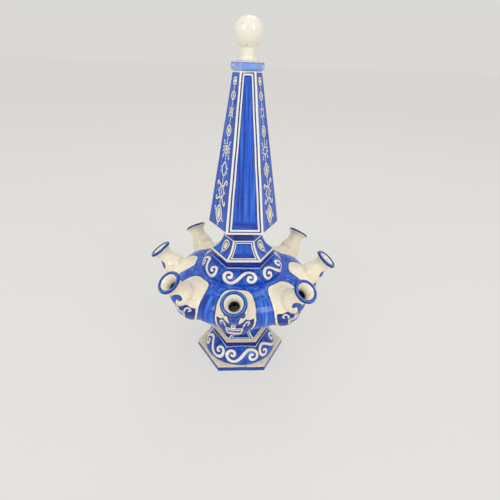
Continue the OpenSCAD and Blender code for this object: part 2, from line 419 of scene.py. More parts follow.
def draw_rows(turns: list[Turn], looped: bool) -> Rows:
    """Rounds a profile's corners and divides its stretches.

    Args:
        turns: The corners in order.
        looped: True if the last corner joins the first.

    Returns:
        The rows, with the run at which each corner lies.
    """
    spots = np.array([(t.reach, t.height, t.hexed) for t in turns])
    count = len(turns)
    shapes: list[list[Array]] = []
    for i, turn in enumerate(turns):
        inner = looped or 0 < i < count - 1
        if turn.fillet <= 0 or not inner:
            shapes.append([spots[i]])
            continue
        back, ahead = spots[i - 1] - spots[i], spots[(i + 1) % count] - spots[i]
        back, ahead = back / np.linalg.norm(back[:2]), ahead / np.linalg.norm(ahead[:2])
        bend = math.acos(float(np.clip(-np.dot(back[:2], ahead[:2]), -1, 1)))
        cut = turn.fillet * math.tan(bend / 2)
        start, end = spots[i] + back * cut, spots[i] + ahead * cut
        start[2] = end[2] = turn.hexed
        shares = np.linspace(0, 1, FILLET_STEPS + 1)
        curve = [start * (1 - s) ** 2 + spots[i] * 2 * s * (1 - s) + end * s * s for s in shares]
        shapes.append(curve)
    points: list[Array] = []
    marks: list[int] = []
    for i, shape in enumerate(shapes):
        marks.append(len(points) + len(shape) // 2)
        points.extend(shape)
        if i + 1 == count and not looped:
            break
        following = shapes[(i + 1) % count][0]
        length = float(np.linalg.norm(following[:2] - shape[-1][:2]))
        pieces = max(1, math.ceil(length / turns[i].step))
        points.extend(shape[-1] + (following - shape[-1]) * k / pieces for k in range(1, pieces))
    table = np.array(points)
    run = np.concatenate([[0.0], np.cumsum(np.linalg.norm(np.diff(table[:, :2], axis=0), axis=1))])
    return Rows(table[:, 0], table[:, 1], table[:, 2], run, run[marks])


@dataclass
class Columns:
    """The columns of a mesh: places round the axis, on a hexagon of unit apothem and on a circle."""

    core: Array
    normal: Array
    azimuth: Array
    side: Array
    across: Array

    @classmethod
    def hexagonal(cls, per_side: int, corner_steps: int = 3) -> "Columns":
        """Spreads columns evenly along each side, with extra ones round the corners.

        Args:
            per_side: Number of spaces along a side.
            corner_steps: Number of extra columns at a corner.

        Returns:
            The columns.
        """
        core, normal, side, across = [], [], [], []
        for k in range(SIDES):
            facing = FRONT + k * math.pi / 3
            out = np.array([math.cos(facing), math.sin(facing)])
            along = np.array([-out[1], out[0]])
            for share in np.linspace(-1, 1, per_side + 1):
                core.append(out + share * TAN30 * along)
                normal.append(out)
                side.append(k)
                across.append(share)
            for j in range(1, corner_steps + 1):
                lean = facing + math.pi / 3 * j / (corner_steps + 1)
                core.append(out + TAN30 * along)
                normal.append(np.array([math.cos(lean), math.sin(lean)]))
                side.append(k if 2 * j <= corner_steps + 1 else (k + 1) % SIDES)
                across.append(1.0 if 2 * j <= corner_steps + 1 else -1.0)
        core_a, normal_a = np.array(core), np.array(normal)
        apothem = 30.0
        place = core_a * apothem + normal_a
        azimuth = np.unwrap(np.arctan2(place[:, 1], place[:, 0]))
        return cls(core_a, normal_a, azimuth, np.array(side), np.array(across))

    @classmethod
    def circular(cls, count: int, start: float = FRONT) -> "Columns":
        """Spreads columns evenly round a circle.

        Args:
            count: Number of columns.
            start: Azimuth of the first one.

        Returns:
            The columns.
        """
        azimuth = start + np.arange(count) * 2 * math.pi / count
        out = np.stack([np.cos(azimuth), np.sin(azimuth)], -1)
        return cls(out, out, azimuth, np.zeros(count, int), np.zeros(count))


@dataclass
class Skin:
    """A closed skin of rows and columns."""

    rows: Rows
    columns: Columns
    looped: bool
    corner: float = CORNER_ROUND
    corner_share: float = 0.4
    points: Array = field(init=False)

    def __post_init__(self) -> None:
        """Places the points."""
        reach = self.rows.reach[:, None, None]
        hexed = self.rows.hexed[:, None, None]
        corner = np.minimum(self.corner, self.corner_share * reach)
        ring = np.stack([np.cos(self.columns.azimuth), np.sin(self.columns.azimuth)], -1)[None]
        flat = (reach - corner) * self.columns.core[None] + corner * self.columns.normal[None]
        plan = hexed * flat + (1 - hexed) * reach * ring
        height = np.broadcast_to(self.rows.height[:, None, None], plan.shape[:2] + (1,))
        self.points = np.concatenate([plan, height], -1)

    def mesh(self, name: str, paint: Paint) -> bpy.types.Object:
        """Makes the closed mesh and hangs the paint on its points.

        Args:
            name: Name of the object.
            paint: Pigment of each point.

        Returns:
            The object, linked to the scene.
        """
        count, width = self.points.shape[:2]
        vertices = self.points.reshape(-1, 3)
        index = np.arange(count * width).reshape(count, width)
        if self.looped:
            index = np.concatenate([index, index[:1]], 0)
        around = np.concatenate([index, index[:, :1]], 1)
        corners = (around[:-1, :-1], around[:-1, 1:], around[1:, 1:], around[1:, :-1])
        quads = np.stack(corners, -1).reshape(-1, 4)
        faces = quads.tolist()
        layers = [layer.ravel() for layer in (paint.wash, paint.trek, paint.white)]
        if not self.looped:
            first, last = len(vertices), len(vertices) + 1
            poles = np.array([[0, 0, self.points[0, 0, 2]], [0, 0, self.points[-1, 0, 2]]])
            vertices = np.concatenate([vertices, poles])
            faces += [(first, int(b), int(a)) for a, b in zip(around[0, :-1], around[0, 1:])]
            faces += [(last, int(a), int(b)) for a, b in zip(around[-1, :-1], around[-1, 1:])]
            layers = [np.concatenate([a, [a[0], a[-1]]]) for a in layers]
        a, b, c, d = (vertices[quads[:, k]] for k in range(4))
        volume = np.einsum("ij,ij->", a, np.cross(b, c)) + np.einsum("ij,ij->", a, np.cross(c, d))
        if volume < 0:
            faces = [face[::-1] for face in faces]
        mesh = bpy.data.meshes.new(name)
        mesh.from_pydata((vertices * MM).tolist(), [], faces)
        mesh.polygons.foreach_set("use_smooth", np.ones(len(mesh.polygons), bool))
        for label, values in zip(LAYERS, layers):
            layer = mesh.attributes.new(label, "FLOAT", "POINT")
            layer.data.foreach_set("value", values.astype(np.float32))
        mesh.validate()
        mesh.update()
        return show(name, mesh)


def path_inset(x: Array, y: Array, path: Array, half: Array) -> Array:
    """Measures points against a stroke of varying width.

    Args:
        x: First coordinate of the points.
        y: Second coordinate of the points.
        path: Points along the stroke.
        half: Half width of the stroke at each of them.

    Returns:
        Signed distance to the stroke's edge, below 0 inside.
    """
    best = np.full(x.shape, 1e3)
    for (x0, y0), (x1, y1), h0, h1 in zip(path[:-1], path[1:], half[:-1], half[1:]):
        dx, dy = x1 - x0, y1 - y0
        share = np.clip(((x - x0) * dx + (y - y0) * dy) / (dx * dx + dy * dy + 1e-9), 0, 1)
        away = np.hypot(x - x0 - share * dx, y - y0 - share * dy)
        best = np.minimum(best, away - (h0 + (h1 - h0) * share))
    return best


def oval_inset(x: Array, y: Array, half_x: float, half_y: float, power: float) -> Array:
    """Measures points against an oval, which is a lozenge at a low power and a square at a high one.

    Args:
        x: First coordinate from its middle.
        y: Second coordinate from its middle.
        half_x: Half width.
        half_y: Half height.
        power: Fullness.

    Returns:
        About the signed distance to its edge, below 0 inside.
    """
    across, along = np.abs(x) / half_x, np.abs(y) / half_y
    fullness = np.maximum((across**power + along**power) ** (1 / power), 1e-6)
    steep = np.hypot(across ** (power - 1) / half_x, along ** (power - 1) / half_y)
    slope = steep * fullness ** (1 - power)
    return (fullness - 1) / np.maximum(slope, 0.5 / max(half_x, half_y))


def bend(points: list[Spot], steps: int = 8) -> Array:
    """Draws a smooth curve through points.

    Args:
        points: The points.
        steps: Number of chords between two of them.

    Returns:
        The points of the curve.
    """
    spots = np.array([points[0], *points, points[-1]], float)
    shares = np.linspace(0, 1, steps, endpoint=False)[:, None]
    curve = []
    for a, b, c, d in zip(spots[:-3], spots[1:-2], spots[2:-1], spots[3:]):
        curve.append(0.5 * (2 * b + (c - a) * shares + (2 * a - 5 * b + 4 * c - d) * shares**2
                            + (3 * b - 3 * c + d - a) * shares**3))
    return np.concatenate([*curve, spots[-1:]])


def bar_inset(x: Array, y: Array, middle: Spot, half: tuple[float | Array, float]) -> Array:
    """Measures points against a bar.

    Args:
        x: First coordinate of the points.
        y: Second coordinate of the points.
        middle: Middle of the bar.
        half: Its half width and half height.

    Returns:
        Signed distance to its nearest side, below 0 inside.
    """
    return np.maximum(np.abs(x - middle[0]) - half[0], np.abs(y - middle[1]) - half[1])


@dataclass(frozen=True)
class Stroke:
    """A curved stroke: the points that it runs through, and its half width at shares of its way."""

    points: tuple[Spot, ...]
    half: tuple[Spot, ...]

    def inset(self, x: Array, y: Array, side: int = 1) -> Array:
        """Measures points against the stroke.

        Args:
            x: First coordinate of the points.
            y: Second coordinate of the points.
            side: 1, or -1 for the stroke's mirror image.

        Returns:
            Signed distance to the stroke's edge, below 0 inside.
        """
        path = bend([(side * across, up) for across, up in self.points])
        shares, widths = zip(*self.half)
        return path_inset(x, y, path, np.interp(np.linspace(0, 1, len(path)), shares, widths))


def four(x: float, y: float) -> tuple[Spot, ...]:
    """Gives a point's four images about the middle."""
    return (-x, y), (x, y), (-x, -y), (x, -y)


@dataclass(frozen=True)
class Scroll:
    """A lying S with a volute at each end, the same when it is turned half round."""

    eye_x: float = 13.0
    eye_y: float = -1.4
    outer: float = 9.4
    inner: float = 1.5
    turn: float = 385.0
    lean: Spot = (4.4, 4.6)
    half: float = 2.0
    tip: float = 1.5
    entry: float = 96.0
    tightening: float = 0.72
    approach: Spot = (3.4, 0.5)

    def path(self) -> tuple[Array, Array]:
        """Draws the scroll.

        Returns:
            The points along it, and its half width at each.
        """
        share = np.linspace(0, 1, 40)
        angle = np.radians(self.entry - self.turn * share)
        radius = self.outer + (self.inner - self.outer) * share**self.tightening
        volute = np.stack([self.eye_x + radius * np.cos(angle), self.eye_y + radius * np.sin(angle)], -1)
        before = volute[0] - self.approach
        stem = bend([(0.0, 0.0), self.lean, tuple(before), tuple(volute[0])])
        arm = np.concatenate([stem, volute[1:]])
        taper = np.linspace(self.half, self.tip, len(volute) - 1)
        width = np.concatenate([np.full(len(stem), self.half), taper])
        return np.concatenate([-arm[::-1], arm[1:]]), np.concatenate([width[::-1], width[1:]])


class Medallion(Enum):
    """Ornaments in the chain on a spire face, each with its fullness."""

    BEAD = 3.4
    DIAMOND = 1.35
    RING = 2.4
    OVAL = 1.7
    SQUARE = 4.5
    LOZENGE = 1.45


@dataclass(frozen=True)
class ChainLink:
    """One ornament of the chain: kind, height up the face, half sizes, dots and sides with a blue core."""

    kind: Medallion
    up: float
    half_x: float
    half_y: float
    dots: tuple[Spot, ...] = ()
    dot: float = 0.95
    blue_on: tuple[int, ...] = ()
    ring: float = 1.9
    core: float = 1.7
    share: float = 0.3
    blue: float = 0.6
    dot_rim: float = 0.5
    bar: float = 0.6

    def draw(self, paint: Paint, x: Array, y: Array, side: Array) -> None:
        """Paints the ornament.

        Args:
            paint: Paint of the face.
            x: Distance from the face's middle line.
            y: Height up the face.
            side: Number of the side that each point lies on.
        """
        y = y - self.up
        inset = oval_inset(x, y, self.half_x, self.half_y, self.kind.value)
        for dx, dy in self.dots:
            paint.line(np.hypot(x - dx, y - dy) - self.dot, self.dot_rim)
        paint.line(inset)
        ring = min(self.ring, self.share * self.half_x)
        core = ring + min(self.core, self.share * self.half_x)
        paint.clear(soft(inset, -core))
        paint.ink(between(inset, -core, -ring))
        paint.flood(soft(inset, -ring) * np.isin(side, self.blue_on), self.blue)
        if self.kind is Medallion.BEAD:
            paint.clear(soft(np.maximum(np.abs(y) - self.bar, inset), 0.0), 1.0)


class Graph:
    """Short ways to lay out a node tree."""

    def __init__(self, tree: bpy.types.NodeTree) -> None:
        """Empties the tree.

        Args:
            tree: The tree to fill.
        """
        self.tree = tree
        tree.nodes.clear()

    @classmethod
    def of_material(cls, name: str) -> tuple[bpy.types.Material, "Graph"]:
        """Makes a material, and gives it with its empty tree.

        Args:
            name: Name of the material.

        Returns:
            The material and the graph of its tree.
        """
        material = bpy.data.materials.new(name)
        material.use_nodes = True
        return material, cls(material.node_tree)

    def add(self, kind: str) -> bpy.types.Node:
        """Adds a node of that kind."""
        return self.tree.nodes.new(kind)

    def link(self, source: Socket, target: Socket) -> None:
        """Joins two sockets."""
        self.tree.links.new(source, target)

    def feed(self, target: Socket, source: Source | Colour) -> None:
        """Links a socket, or sets its value.

        Args:
            target: Input socket.
            source: Socket, number or colour.
        """
        if isinstance(source, Socket):
            self.link(source, target)
        elif isinstance(source, tuple):
            target.default_value = (*source, 1.0)
        else:
            target.default_value = source

    def place(self) -> Socket:
        """Reads where a point lies on its object."""
        return self.add("ShaderNodeTexCoord").outputs["Object"]

    def layer(self, label: str) -> Socket:
        """Reads one of the paint layers.

        Args:
            label: Name of the layer.

        Returns:
            Its value.
        """
        node = self.add("ShaderNodeAttribute")
        node.attribute_name = label
        return node.outputs["Fac"]

    def seen(self) -> Socket:
        """Tells rays from the camera, from gloss and through glass from those that only light.

        Returns:
            1 for rays that see, 0 for rays that only light.
        """
        path = self.add("ShaderNodeLightPath")
        eye = self.math("MAXIMUM", path.outputs["Is Camera Ray"], path.outputs["Is Glossy Ray"])
        return self.math("MAXIMUM", eye, path.outputs["Is Transmission Ray"])

    def noise(self, place: Socket, scale: float, detail: float = 3.0) -> Socket:
        """Adds noise.

        Args:
            place: Coordinates.
            scale: Cells per metre.
            detail: Number of octaves.

        Returns:
            Its value.
        """
        node = self.add("ShaderNodeTexNoise")
        node.inputs["Scale"].default_value = scale
        node.inputs["Detail"].default_value = detail
        self.link(place, node.inputs["Vector"])
        return node.outputs["Fac"]

    def math(self, operation: str, first: Source, second: Source, third: Source = 0.0) -> Socket:
        """Adds a sum; SMOOTHSTEP goes from 0 at the second value to 1 at the third.

        Args:
            operation: Name of the operation.
            first: First value.
            second: Second value.
            third: Third value.

        Returns:
            The result.
        """
        if operation == "SMOOTHSTEP":
            node = self.add("ShaderNodeMapRange")
            node.interpolation_type = "SMOOTHSTEP"
            for label, value in zip(("Value", "From Min", "From Max"), (first, second, third)):
                self.feed(node.inputs[label], value)
            return node.outputs["Result"]
        node = self.add("ShaderNodeMath")
        node.operation = operation
        for socket, value in zip(node.inputs, (first, second, third)):
            self.feed(socket, value)
        return node.outputs["Value"]

    def vary(self, value: Socket, amount: float) -> Socket:
        """Turns a value from 0 to 1 into a factor that strays from 1 by up to half the amount."""
        return self.math("MULTIPLY_ADD", value, amount, 1 - amount / 2)

    def mix(self, share: Source, first: Source | Colour, second: Source | Colour) -> Socket:
        """Mixes two colours.

        Args:
            share: Share of the second colour.
            first: First colour.
            second: Second colour.

        Returns:
            The mixed colour.
        """
        node = self.add("ShaderNodeMix")
        node.data_type = "RGBA"
        self.feed(node.inputs[0], share)
        self.feed(node.inputs[6], first)
        self.feed(node.inputs[7], second)
        return node.outputs[2]

    def ramp(self, value: Socket, stops: tuple[tuple[float, Colour], ...]) -> Socket:
        """Turns a value into a colour.

        Args:
            value: The value.
            stops: Places and colours, in order.

        Returns:
            The colour.
        """
        node = self.add("ShaderNodeValToRGB")
        bar = node.color_ramp.elements
        while len(bar) < len(stops):
            bar.new(1.0)
        for element, (place, colour) in zip(bar, stops):
            element.position = place
            element.color = (*colour, 1.0)
        self.link(value, node.inputs["Fac"])
        return node.outputs["Color"]

    def relief(self, height: Socket, strength: float, depth: float) -> Socket:
        """Raises the surface.

        Args:
            height: Height of each point, 0 to 1.
            strength: Strength of the relief.
            depth: Its depth.

        Returns:
            The normal.
        """
        node = self.add("ShaderNodeBump")
        node.inputs["Strength"].default_value = strength
        node.inputs["Distance"].default_value = depth * MM
        self.link(height, node.inputs["Height"])
        return node.outputs["Normal"]

    def shader(self, colour: Socket, rough: Source, normal: Socket | None = None) -> Socket:
        """Adds the shader.

        Args:
            colour: Its colour.
            rough: Its roughness.
            normal: Its normal, if it has relief.

        Returns:
            Its light.
        """
        node = self.add("ShaderNodeBsdfPrincipled")
        self.link(colour, node.inputs["Base Color"])
        self.feed(node.inputs["Roughness"], rough)
        if normal is not None:
            self.link(normal, node.inputs["Normal"])
        return node.outputs["BSDF"]

    def end(self, surface: Socket) -> None:
        """Ends the tree in the material's surface."""
        self.link(surface, self.add("ShaderNodeOutputMaterial").inputs["Surface"])


@dataclass(frozen=True)
class Glaze:
    """A painted tin glaze: its ground, its blues, its lines and its gloss."""

    name: str
    ground: Colour = srgb(251, 244, 222)
    shade: Colour = srgb(244, 232, 204)
    pale: Colour = srgb(124, 174, 240)
    light: Colour = srgb(54, 124, 232)
    cobalt: Colour = srgb(28, 86, 206)
    deep: Colour = srgb(16, 44, 146)
    trek: Colour = srgb(11, 19, 82)
    white: Colour = srgb(247, 245, 242)
    iron: Colour = srgb(172, 138, 100)
    roughness: float = 0.14
    grain: float = 520.0
    pooling: float = 95.0
    specks: float = 370.0
    speck_edge: Spot = (0.80, 0.86)
    uneven: float = 0.34
    speckle: float = 0.30
    stops: tuple[float, ...] = (0.10, 0.30, 0.56, 0.86)
    cover: Spot = (0.02, 0.16)
    dulling: float = 0.12
    white_raised: float = 0.6
    grain_raised: float = 0.35
    relief: Spot = (0.22, 0.25)

    def material(self) -> bpy.types.Material:
        """Builds the node material.

        Returns:
            The material.
        """
        material, graph = Graph.of_material(self.name)
        place = graph.place()
        fine = graph.noise(place, self.grain, 4.0)
        broad = graph.noise(place, self.pooling)
        wash, trek, white = (graph.layer(label) for label in LAYERS)
        laid = graph.math("MULTIPLY", wash, graph.vary(broad, self.uneven))
        density = graph.math("MULTIPLY", laid, graph.vary(fine, self.speckle))
        specks = graph.math("SMOOTHSTEP", graph.noise(place, self.specks, 0.0), *self.speck_edge)
        ground = graph.mix(specks, graph.mix(broad, self.ground, self.shade), self.iron)
        blue = graph.ramp(density, tuple(zip(self.stops, (self.pale, self.light, self.cobalt, self.deep))))
        colour = graph.mix(graph.math("SMOOTHSTEP", density, *self.cover), ground, blue)
        colour = graph.mix(trek, colour, self.trek)
        colour = graph.mix(white, colour, self.white)
        rough = graph.math("MULTIPLY_ADD", fine, self.dulling, self.roughness - self.dulling / 2)
        raised = graph.math("MULTIPLY", fine, self.grain_raised)
        raised = graph.math("MULTIPLY_ADD", white, self.white_raised, raised)
        graph.end(graph.shader(colour, rough, graph.relief(raised, *self.relief)))
        return material


@dataclass(frozen=True)
class BareClay:
    """Fired clay that takes no glaze: speckled, dusty and matt."""

    name: str = "bare_clay"
    light: Colour = srgb(226, 208, 178)
    dark: Colour = srgb(188, 160, 124)
    grain: float = 1400.0
    clouds: float = 130.0
    cloud_edge: Spot = (0.12, 0.42)
    roughness: float = 0.7
    dulling: float = 0.2
    relief: Spot = (0.35, 0.3)

    def material(self) -> bpy.types.Material:
        """Builds the node material.

        Returns:
            The material.
        """
        material, graph = Graph.of_material(self.name)
        place = graph.place()
        speckle = graph.noise(place, self.grain, 5.0)
        share = graph.math("MULTIPLY", speckle, graph.noise(place, self.clouds))
        colour = graph.mix(graph.math("SMOOTHSTEP", share, *self.cloud_edge), self.light, self.dark)
        rough = graph.math("MULTIPLY_ADD", speckle, self.dulling, self.roughness)
        graph.end(graph.shader(colour, rough, graph.relief(speckle, *self.relief)))
        return material


@dataclass
class Piece:
    """A dressed piece that stands for CAD nodes."""

    name: str
    nodes: tuple[str, ...]
    glaze: bpy.types.Material
    body: Body = Body.VESSEL
    slot: Slot = Slot.COBALT
    seed: int = 1

    def skin(self) -> Skin:
        """Gives the piece's skin."""
        raise NotImplementedError

    def decorate(self, skin: Skin, paint: Paint, brush: Brush) -> None:
        """Paints the piece."""
        raise NotImplementedError

    def make(self) -> bpy.types.Object:
        """Builds, paints, dresses and seats the piece.

        Returns:
            The object.
        """
        skin = self.skin()
        paint = Paint.bare(skin.points.shape[:2])
        self.decorate(skin, paint, Brush(self.seed))
        piece = skin.mesh(self.name, paint)
        piece.data.materials.append(self.glaze)
        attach(piece, self.body.value)
        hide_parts(*self.nodes)
        log.info("%s: %d faces for %s", self.name, len(piece.data.polygons), ", ".join(self.nodes))
        return piece


def side_places(skin: Skin, rows: slice) -> tuple[Array, Array, Array]:
    """Measures a hexagonal piece's sides.

    Args:
        skin: The skin.
        rows: Its painted rows.

    Returns:
        Distance from the side's middle line, distance from its nearer arris, and height up the side.
    """
    half = skin.rows.reach[rows, None] * TAN30
    across = skin.columns.across[None, :] * half
    up = skin.rows.run[rows, None] - skin.rows.run[rows][0]
    return across, half - np.abs(across), np.broadcast_to(up, across.shape)


@dataclass
class Slab(Piece):
    """Hexagonal slab with a round bore."""

    bore: float = 29.1
    foot_flat: float | None = None
    foot_edge: float = 0.3
    top_edge: float = 0.7
    bore_edge: float = 0.0
    top_step: float = COARSE
    per_side: int = 60
    corner: float = CORNER_ROUND

    def skin(self) -> Skin:
        """Gives the slab's skin, with the bore in its middle.

        Returns:
            The skin.
        """
        low, high, reach = span(self.nodes[0])
        flat = reach * COS30
        foot = flat if self.foot_flat is None else self.foot_flat
        turns = [Turn(self.bore, low, 0.0), Turn(foot, low, 1.0, self.foot_edge, FINE),
                 Turn(flat, high, 1.0, self.top_edge, self.top_step),
                 Turn(self.bore, high, 0.0, self.bore_edge)]
        return Skin(draw_rows(turns, True), Columns.hexagonal(self.per_side), True, self.corner)


@dataclass
class Plinth(Slab):
    """Slab that the vase stands on."""

    bore: float = 43.5
    foot_edge: float = 1.2
    top_edge: float = 1.2
    top_step: float = 1.6
    per_side: int = 72
    corner: float = 1.6
    nick: float = 4.4
    nick_ragged: float = 3.0
    nick_cell: float = 1.6
    nick_chalk: float = 0.4
    bare_foot: float = 0.9
    bare_top: float = 0.5
    foot_line: Stripe = Stripe(0.4, 1.2, 0.45)
    top_line: Stripe = Stripe(0.6, 1.7, 0.75)
    wash: Wash = Wash(0.52, 0.34, 2.4, 22.0, 3.0)

    def decorate(self, skin: Skin, paint: Paint, brush: Brush) -> None:
        """Paints the edge blue, leaves the top cream and bares a nick at the left corner.

        Args:
            skin: The piece's skin.
            paint: Its paint.
            brush: The hand.
        """
        rows = skin.rows.between(1, 2)
        across, _, up = side_places(skin, rows)
        part = paint.part(rows)
        x, y = brush.wobble(across, up, 0.5)
        height = float(up[-1, 0])
        part.flood(between(y, self.bare_foot, height - self.bare_top), self.wash.density(brush, y, x))
        self.top_line.draw(part, height - y)
        self.foot_line.draw(part, y)
        place = skin.points[rows]
        nick = np.linalg.norm(place - (place[..., 0].min(), 0.0, place[..., 2].max()), axis=-1)
        ragged = self.nick_ragged * brush.blot(x / self.nick_cell, y / self.nick_cell)
        part.clear(soft(nick + ragged, self.nick), self.nick_chalk)


@dataclass
class Dome(Piece):
    """Quarter-round dome with a ring of white scrolls."""

    wall: float = 6.0
    bore: float = 9.0
    scroll: Scroll = Scroll()
    scroll_up: float = 10.6
    scroll_turn: float = -6.0
    scroll_shift: float = 40.0
    scroll_shine: float = 0.6
    band_flat: float = 0.0
    band_gap: float = 1.4
    band_half: float = 0.42
    foot_line: Stripe = Stripe(-1.0, 0.9, 0.55)
    wash: Wash = Wash(0.22, 0.72, 2.4, 6.0)
    arc_steps: int = 34
    lining_steps: int = 10

    def skin(self) -> Skin:
        """Gives the dome's hollow skin.

        Returns:
            The skin.
        """
        low, high, reach = span(self.nodes[0])
        rise = high - low
        centre = (reach - rise, low)
        lining = rise - self.wall
        outer = [Turn(r, z, 0.0, 0.0, FINE) for r, z in arc(centre, rise, 0, 90, self.arc_steps)]
        inner = [Turn(r, z, 0.0) for r, z in arc(centre, lining, 90, 0, self.lining_steps)]
        bore_low = low + lining
        if self.bore >= centre[0]:
            inner = [turn for turn in inner if turn.reach > self.bore]
            bore_low = low + math.sqrt(lining**2 - (self.bore - centre[0]) ** 2)
        inner = [Turn(self.bore, high, 0.0), Turn(self.bore, bore_low, 0.0)] + inner
        count = SIDES * round(2 * math.pi * reach / FINE / SIDES)
        return Skin(draw_rows(outer + inner, True), Columns.circular(count), True)

    def decorate(self, skin: Skin, paint: Paint, brush: Brush) -> None:
        """Lays the blue and draws the six scrolls and the line under the band above.

        Args:
            skin: The piece's skin.
            paint: Its paint.
            brush: The hand.
        """
        rows = skin.rows.between(0, self.arc_steps + 1)
        part = paint.part(rows)
        up = np.broadcast_to(skin.rows.run[rows, None], part.wash.shape)
        middle = float(skin.rows.reach[skin.rows.between(0, self.arc_steps)].mean())
        azimuth = skin.columns.azimuth - FRONT - math.radians(self.scroll_turn)
        sixth = math.pi / 3
        folded = (azimuth + sixth / 2) % sixth - sixth / 2
        ring = np.round((azimuth - folded) / sixth)
        mirror = np.where(ring % 2 == 0, 1.0, -1.0)
        x = np.broadcast_to(folded * mirror * middle, up.shape)
        shift = self.scroll_shift * np.broadcast_to(ring, up.shape)
        part.flood(np.ones(up.shape), self.wash.density(brush, x + shift, up))
        self.foot_line.draw(part, up)
        px, py = brush.wobble(x + shift, up - self.scroll_up, 1.1, 9.0)
        path, half = self.scroll.path()
        part.line(path_inset(px - shift, py, path, half), shine=self.scroll_shine)
        if self.band_flat:
            facing = FRONT + np.arange(SIDES) * math.pi / 3
            place = skin.points[rows]
            flats = place[..., :1] * np.cos(facing) + place[..., 1:2] * np.sin(facing)
            part.line(np.abs(flats.max(-1) - self.band_flat - self.band_gap) - self.band_half)


@dataclass
class Band(Slab):
    """Band with sloping sides."""

    foot_flat: float | None = 34.1
    top_step: float = 1.2
    ledge: bool = False
    ledge_edge: float = 0.7
    ledge_line: Stripe = Stripe(0.7, 1.9)
    foot_line: Stripe = Stripe(-0.6, 0.6, 0.7)
    arris_line: Stripe = Stripe(-0.5, 0.5, 0.5)
    white_at: float = 0.9
    white_half: float = 0.6
    white_top: float = 1.5
    wash: Wash = Wash(0.58, 0.36, 3.0, 20.0, 2.2)

    def decorate(self, skin: Skin, paint: Paint, brush: Brush) -> None:
        """Paints the side blue between its white lines, and leaves a ledge cream.

        Args:
            skin: The piece's skin.
            paint: Its paint.
            brush: The hand.
        """
        rows = skin.rows.between(1, 2)
        across, edge, up = side_places(skin, rows)
        part = paint.part(rows)
        x, y = brush.wobble(across, up, 0.5)
        height = float(up[-1, 0])
        part.flood(np.ones(up.shape), self.wash.density(brush, y, x))
        self.arris_line.draw(part, edge)
        if self.ledge:
            part.clear(soft(height - y, self.ledge_edge))
            self.ledge_line.draw(part, height - y)
            self.foot_line.draw(part, y)
        else:
            part.line(np.abs(y - self.white_at) - self.white_half)
            part.line(height - y - self.white_top)
            paint.part(skin.rows.between(2, 3)).clear(np.ones(1), 1.0)


@dataclass(frozen=True)
class Framing:
    """The paint of a panelled side: its washes, and its lines in widths of line from the side's edge."""

    line_half: float = 20.0
    line_share: float = 0.45
    line_least: float = 0.62
    arris: float = 1.5
    foot: float = 1.1
    plain_foot: float = 1.0
    dark: Spot = (1.4, 3.7)
    dark_ink: float = 0.9
    frame_lift: float = 0.2
    frame: float = 4.45
    frame_half: float = 0.95
    panel: float = 6.2
    floor: float = 15.0
    floor_blur: float = 2.5
    head_gap: float = 0.2
    side_wash: Wash = Wash(0.14, 0.80, 1.1, 34.0)
    floor_wash: Wash = Wash(0.46, 0.50, 2.4, 16.0)
    head_wash: Wash = Wash(0.55, 0.45, 2.0, 9.0)


def paint_sides(skin: Skin, rows: slice, paint: Paint, brush: Brush, scale: float,
                head: float = 0.0, rib: float = 0.45) -> tuple[Array, Array, Array]:
    """Lays the blue on six sides, with white arris lines and a framed panel on every second side.

    Args:
        skin: The skin.
        rows: Its painted rows.
        paint: Paint of those rows.
        brush: The hand.
        scale: Width of the lines, 1 for the spire's foot.
        head: Height of the dark zone above the panels.
        rib: Width of the arris line on the sides without a panel.

    Returns:
        Distance from the side's middle line, height up the side, and which points lie on framed sides.
    """
    at = Framing()
    across, _, up = side_places(skin, rows)
    framed = np.broadcast_to(skin.columns.side[None, :] % 2 == 0, across.shape)
    half = skin.rows.reach[rows, None] * TAN30
    line = scale * np.clip(1 + at.line_share * (half / at.line_half - 1), at.line_least, 1.0)
    shift = SIDE_SHIFT * skin.columns.side[None, :]
    length = float(up[-1, 0])
    paint.flood(np.ones(across.shape), at.side_wash.density(brush, across + shift, up))
    x, y = brush.wobble(across + shift, up, 0.55, 17.0)
    edge = half - np.abs(x - shift)
    foot = np.minimum(y, length - head - y)
    inner = np.minimum(edge, foot - at.frame_lift * line)
    floor = soft(y, at.floor * line, at.floor_blur) * (inner > at.panel * line) * framed
    paint.flood(floor, at.floor_wash.density(brush, y, x))
    paint.ink(between(inner, at.dark[0] * line, at.dark[1] * line) * framed, at.dark_ink)
    paint.line(np.where(framed, np.abs(inner - at.frame * line) - at.frame_half * line, FAR))
    arris = edge - np.where(framed, at.arris, rib) * line
    ends = np.abs(foot - line) - np.where(framed, at.foot, at.plain_foot) * line
    paint.line(np.minimum(arris, ends))
    if head:
        paint.flood(soft(length - head - y, -at.head_gap), at.head_wash.density(brush, y, x))
    return x - shift, y, framed


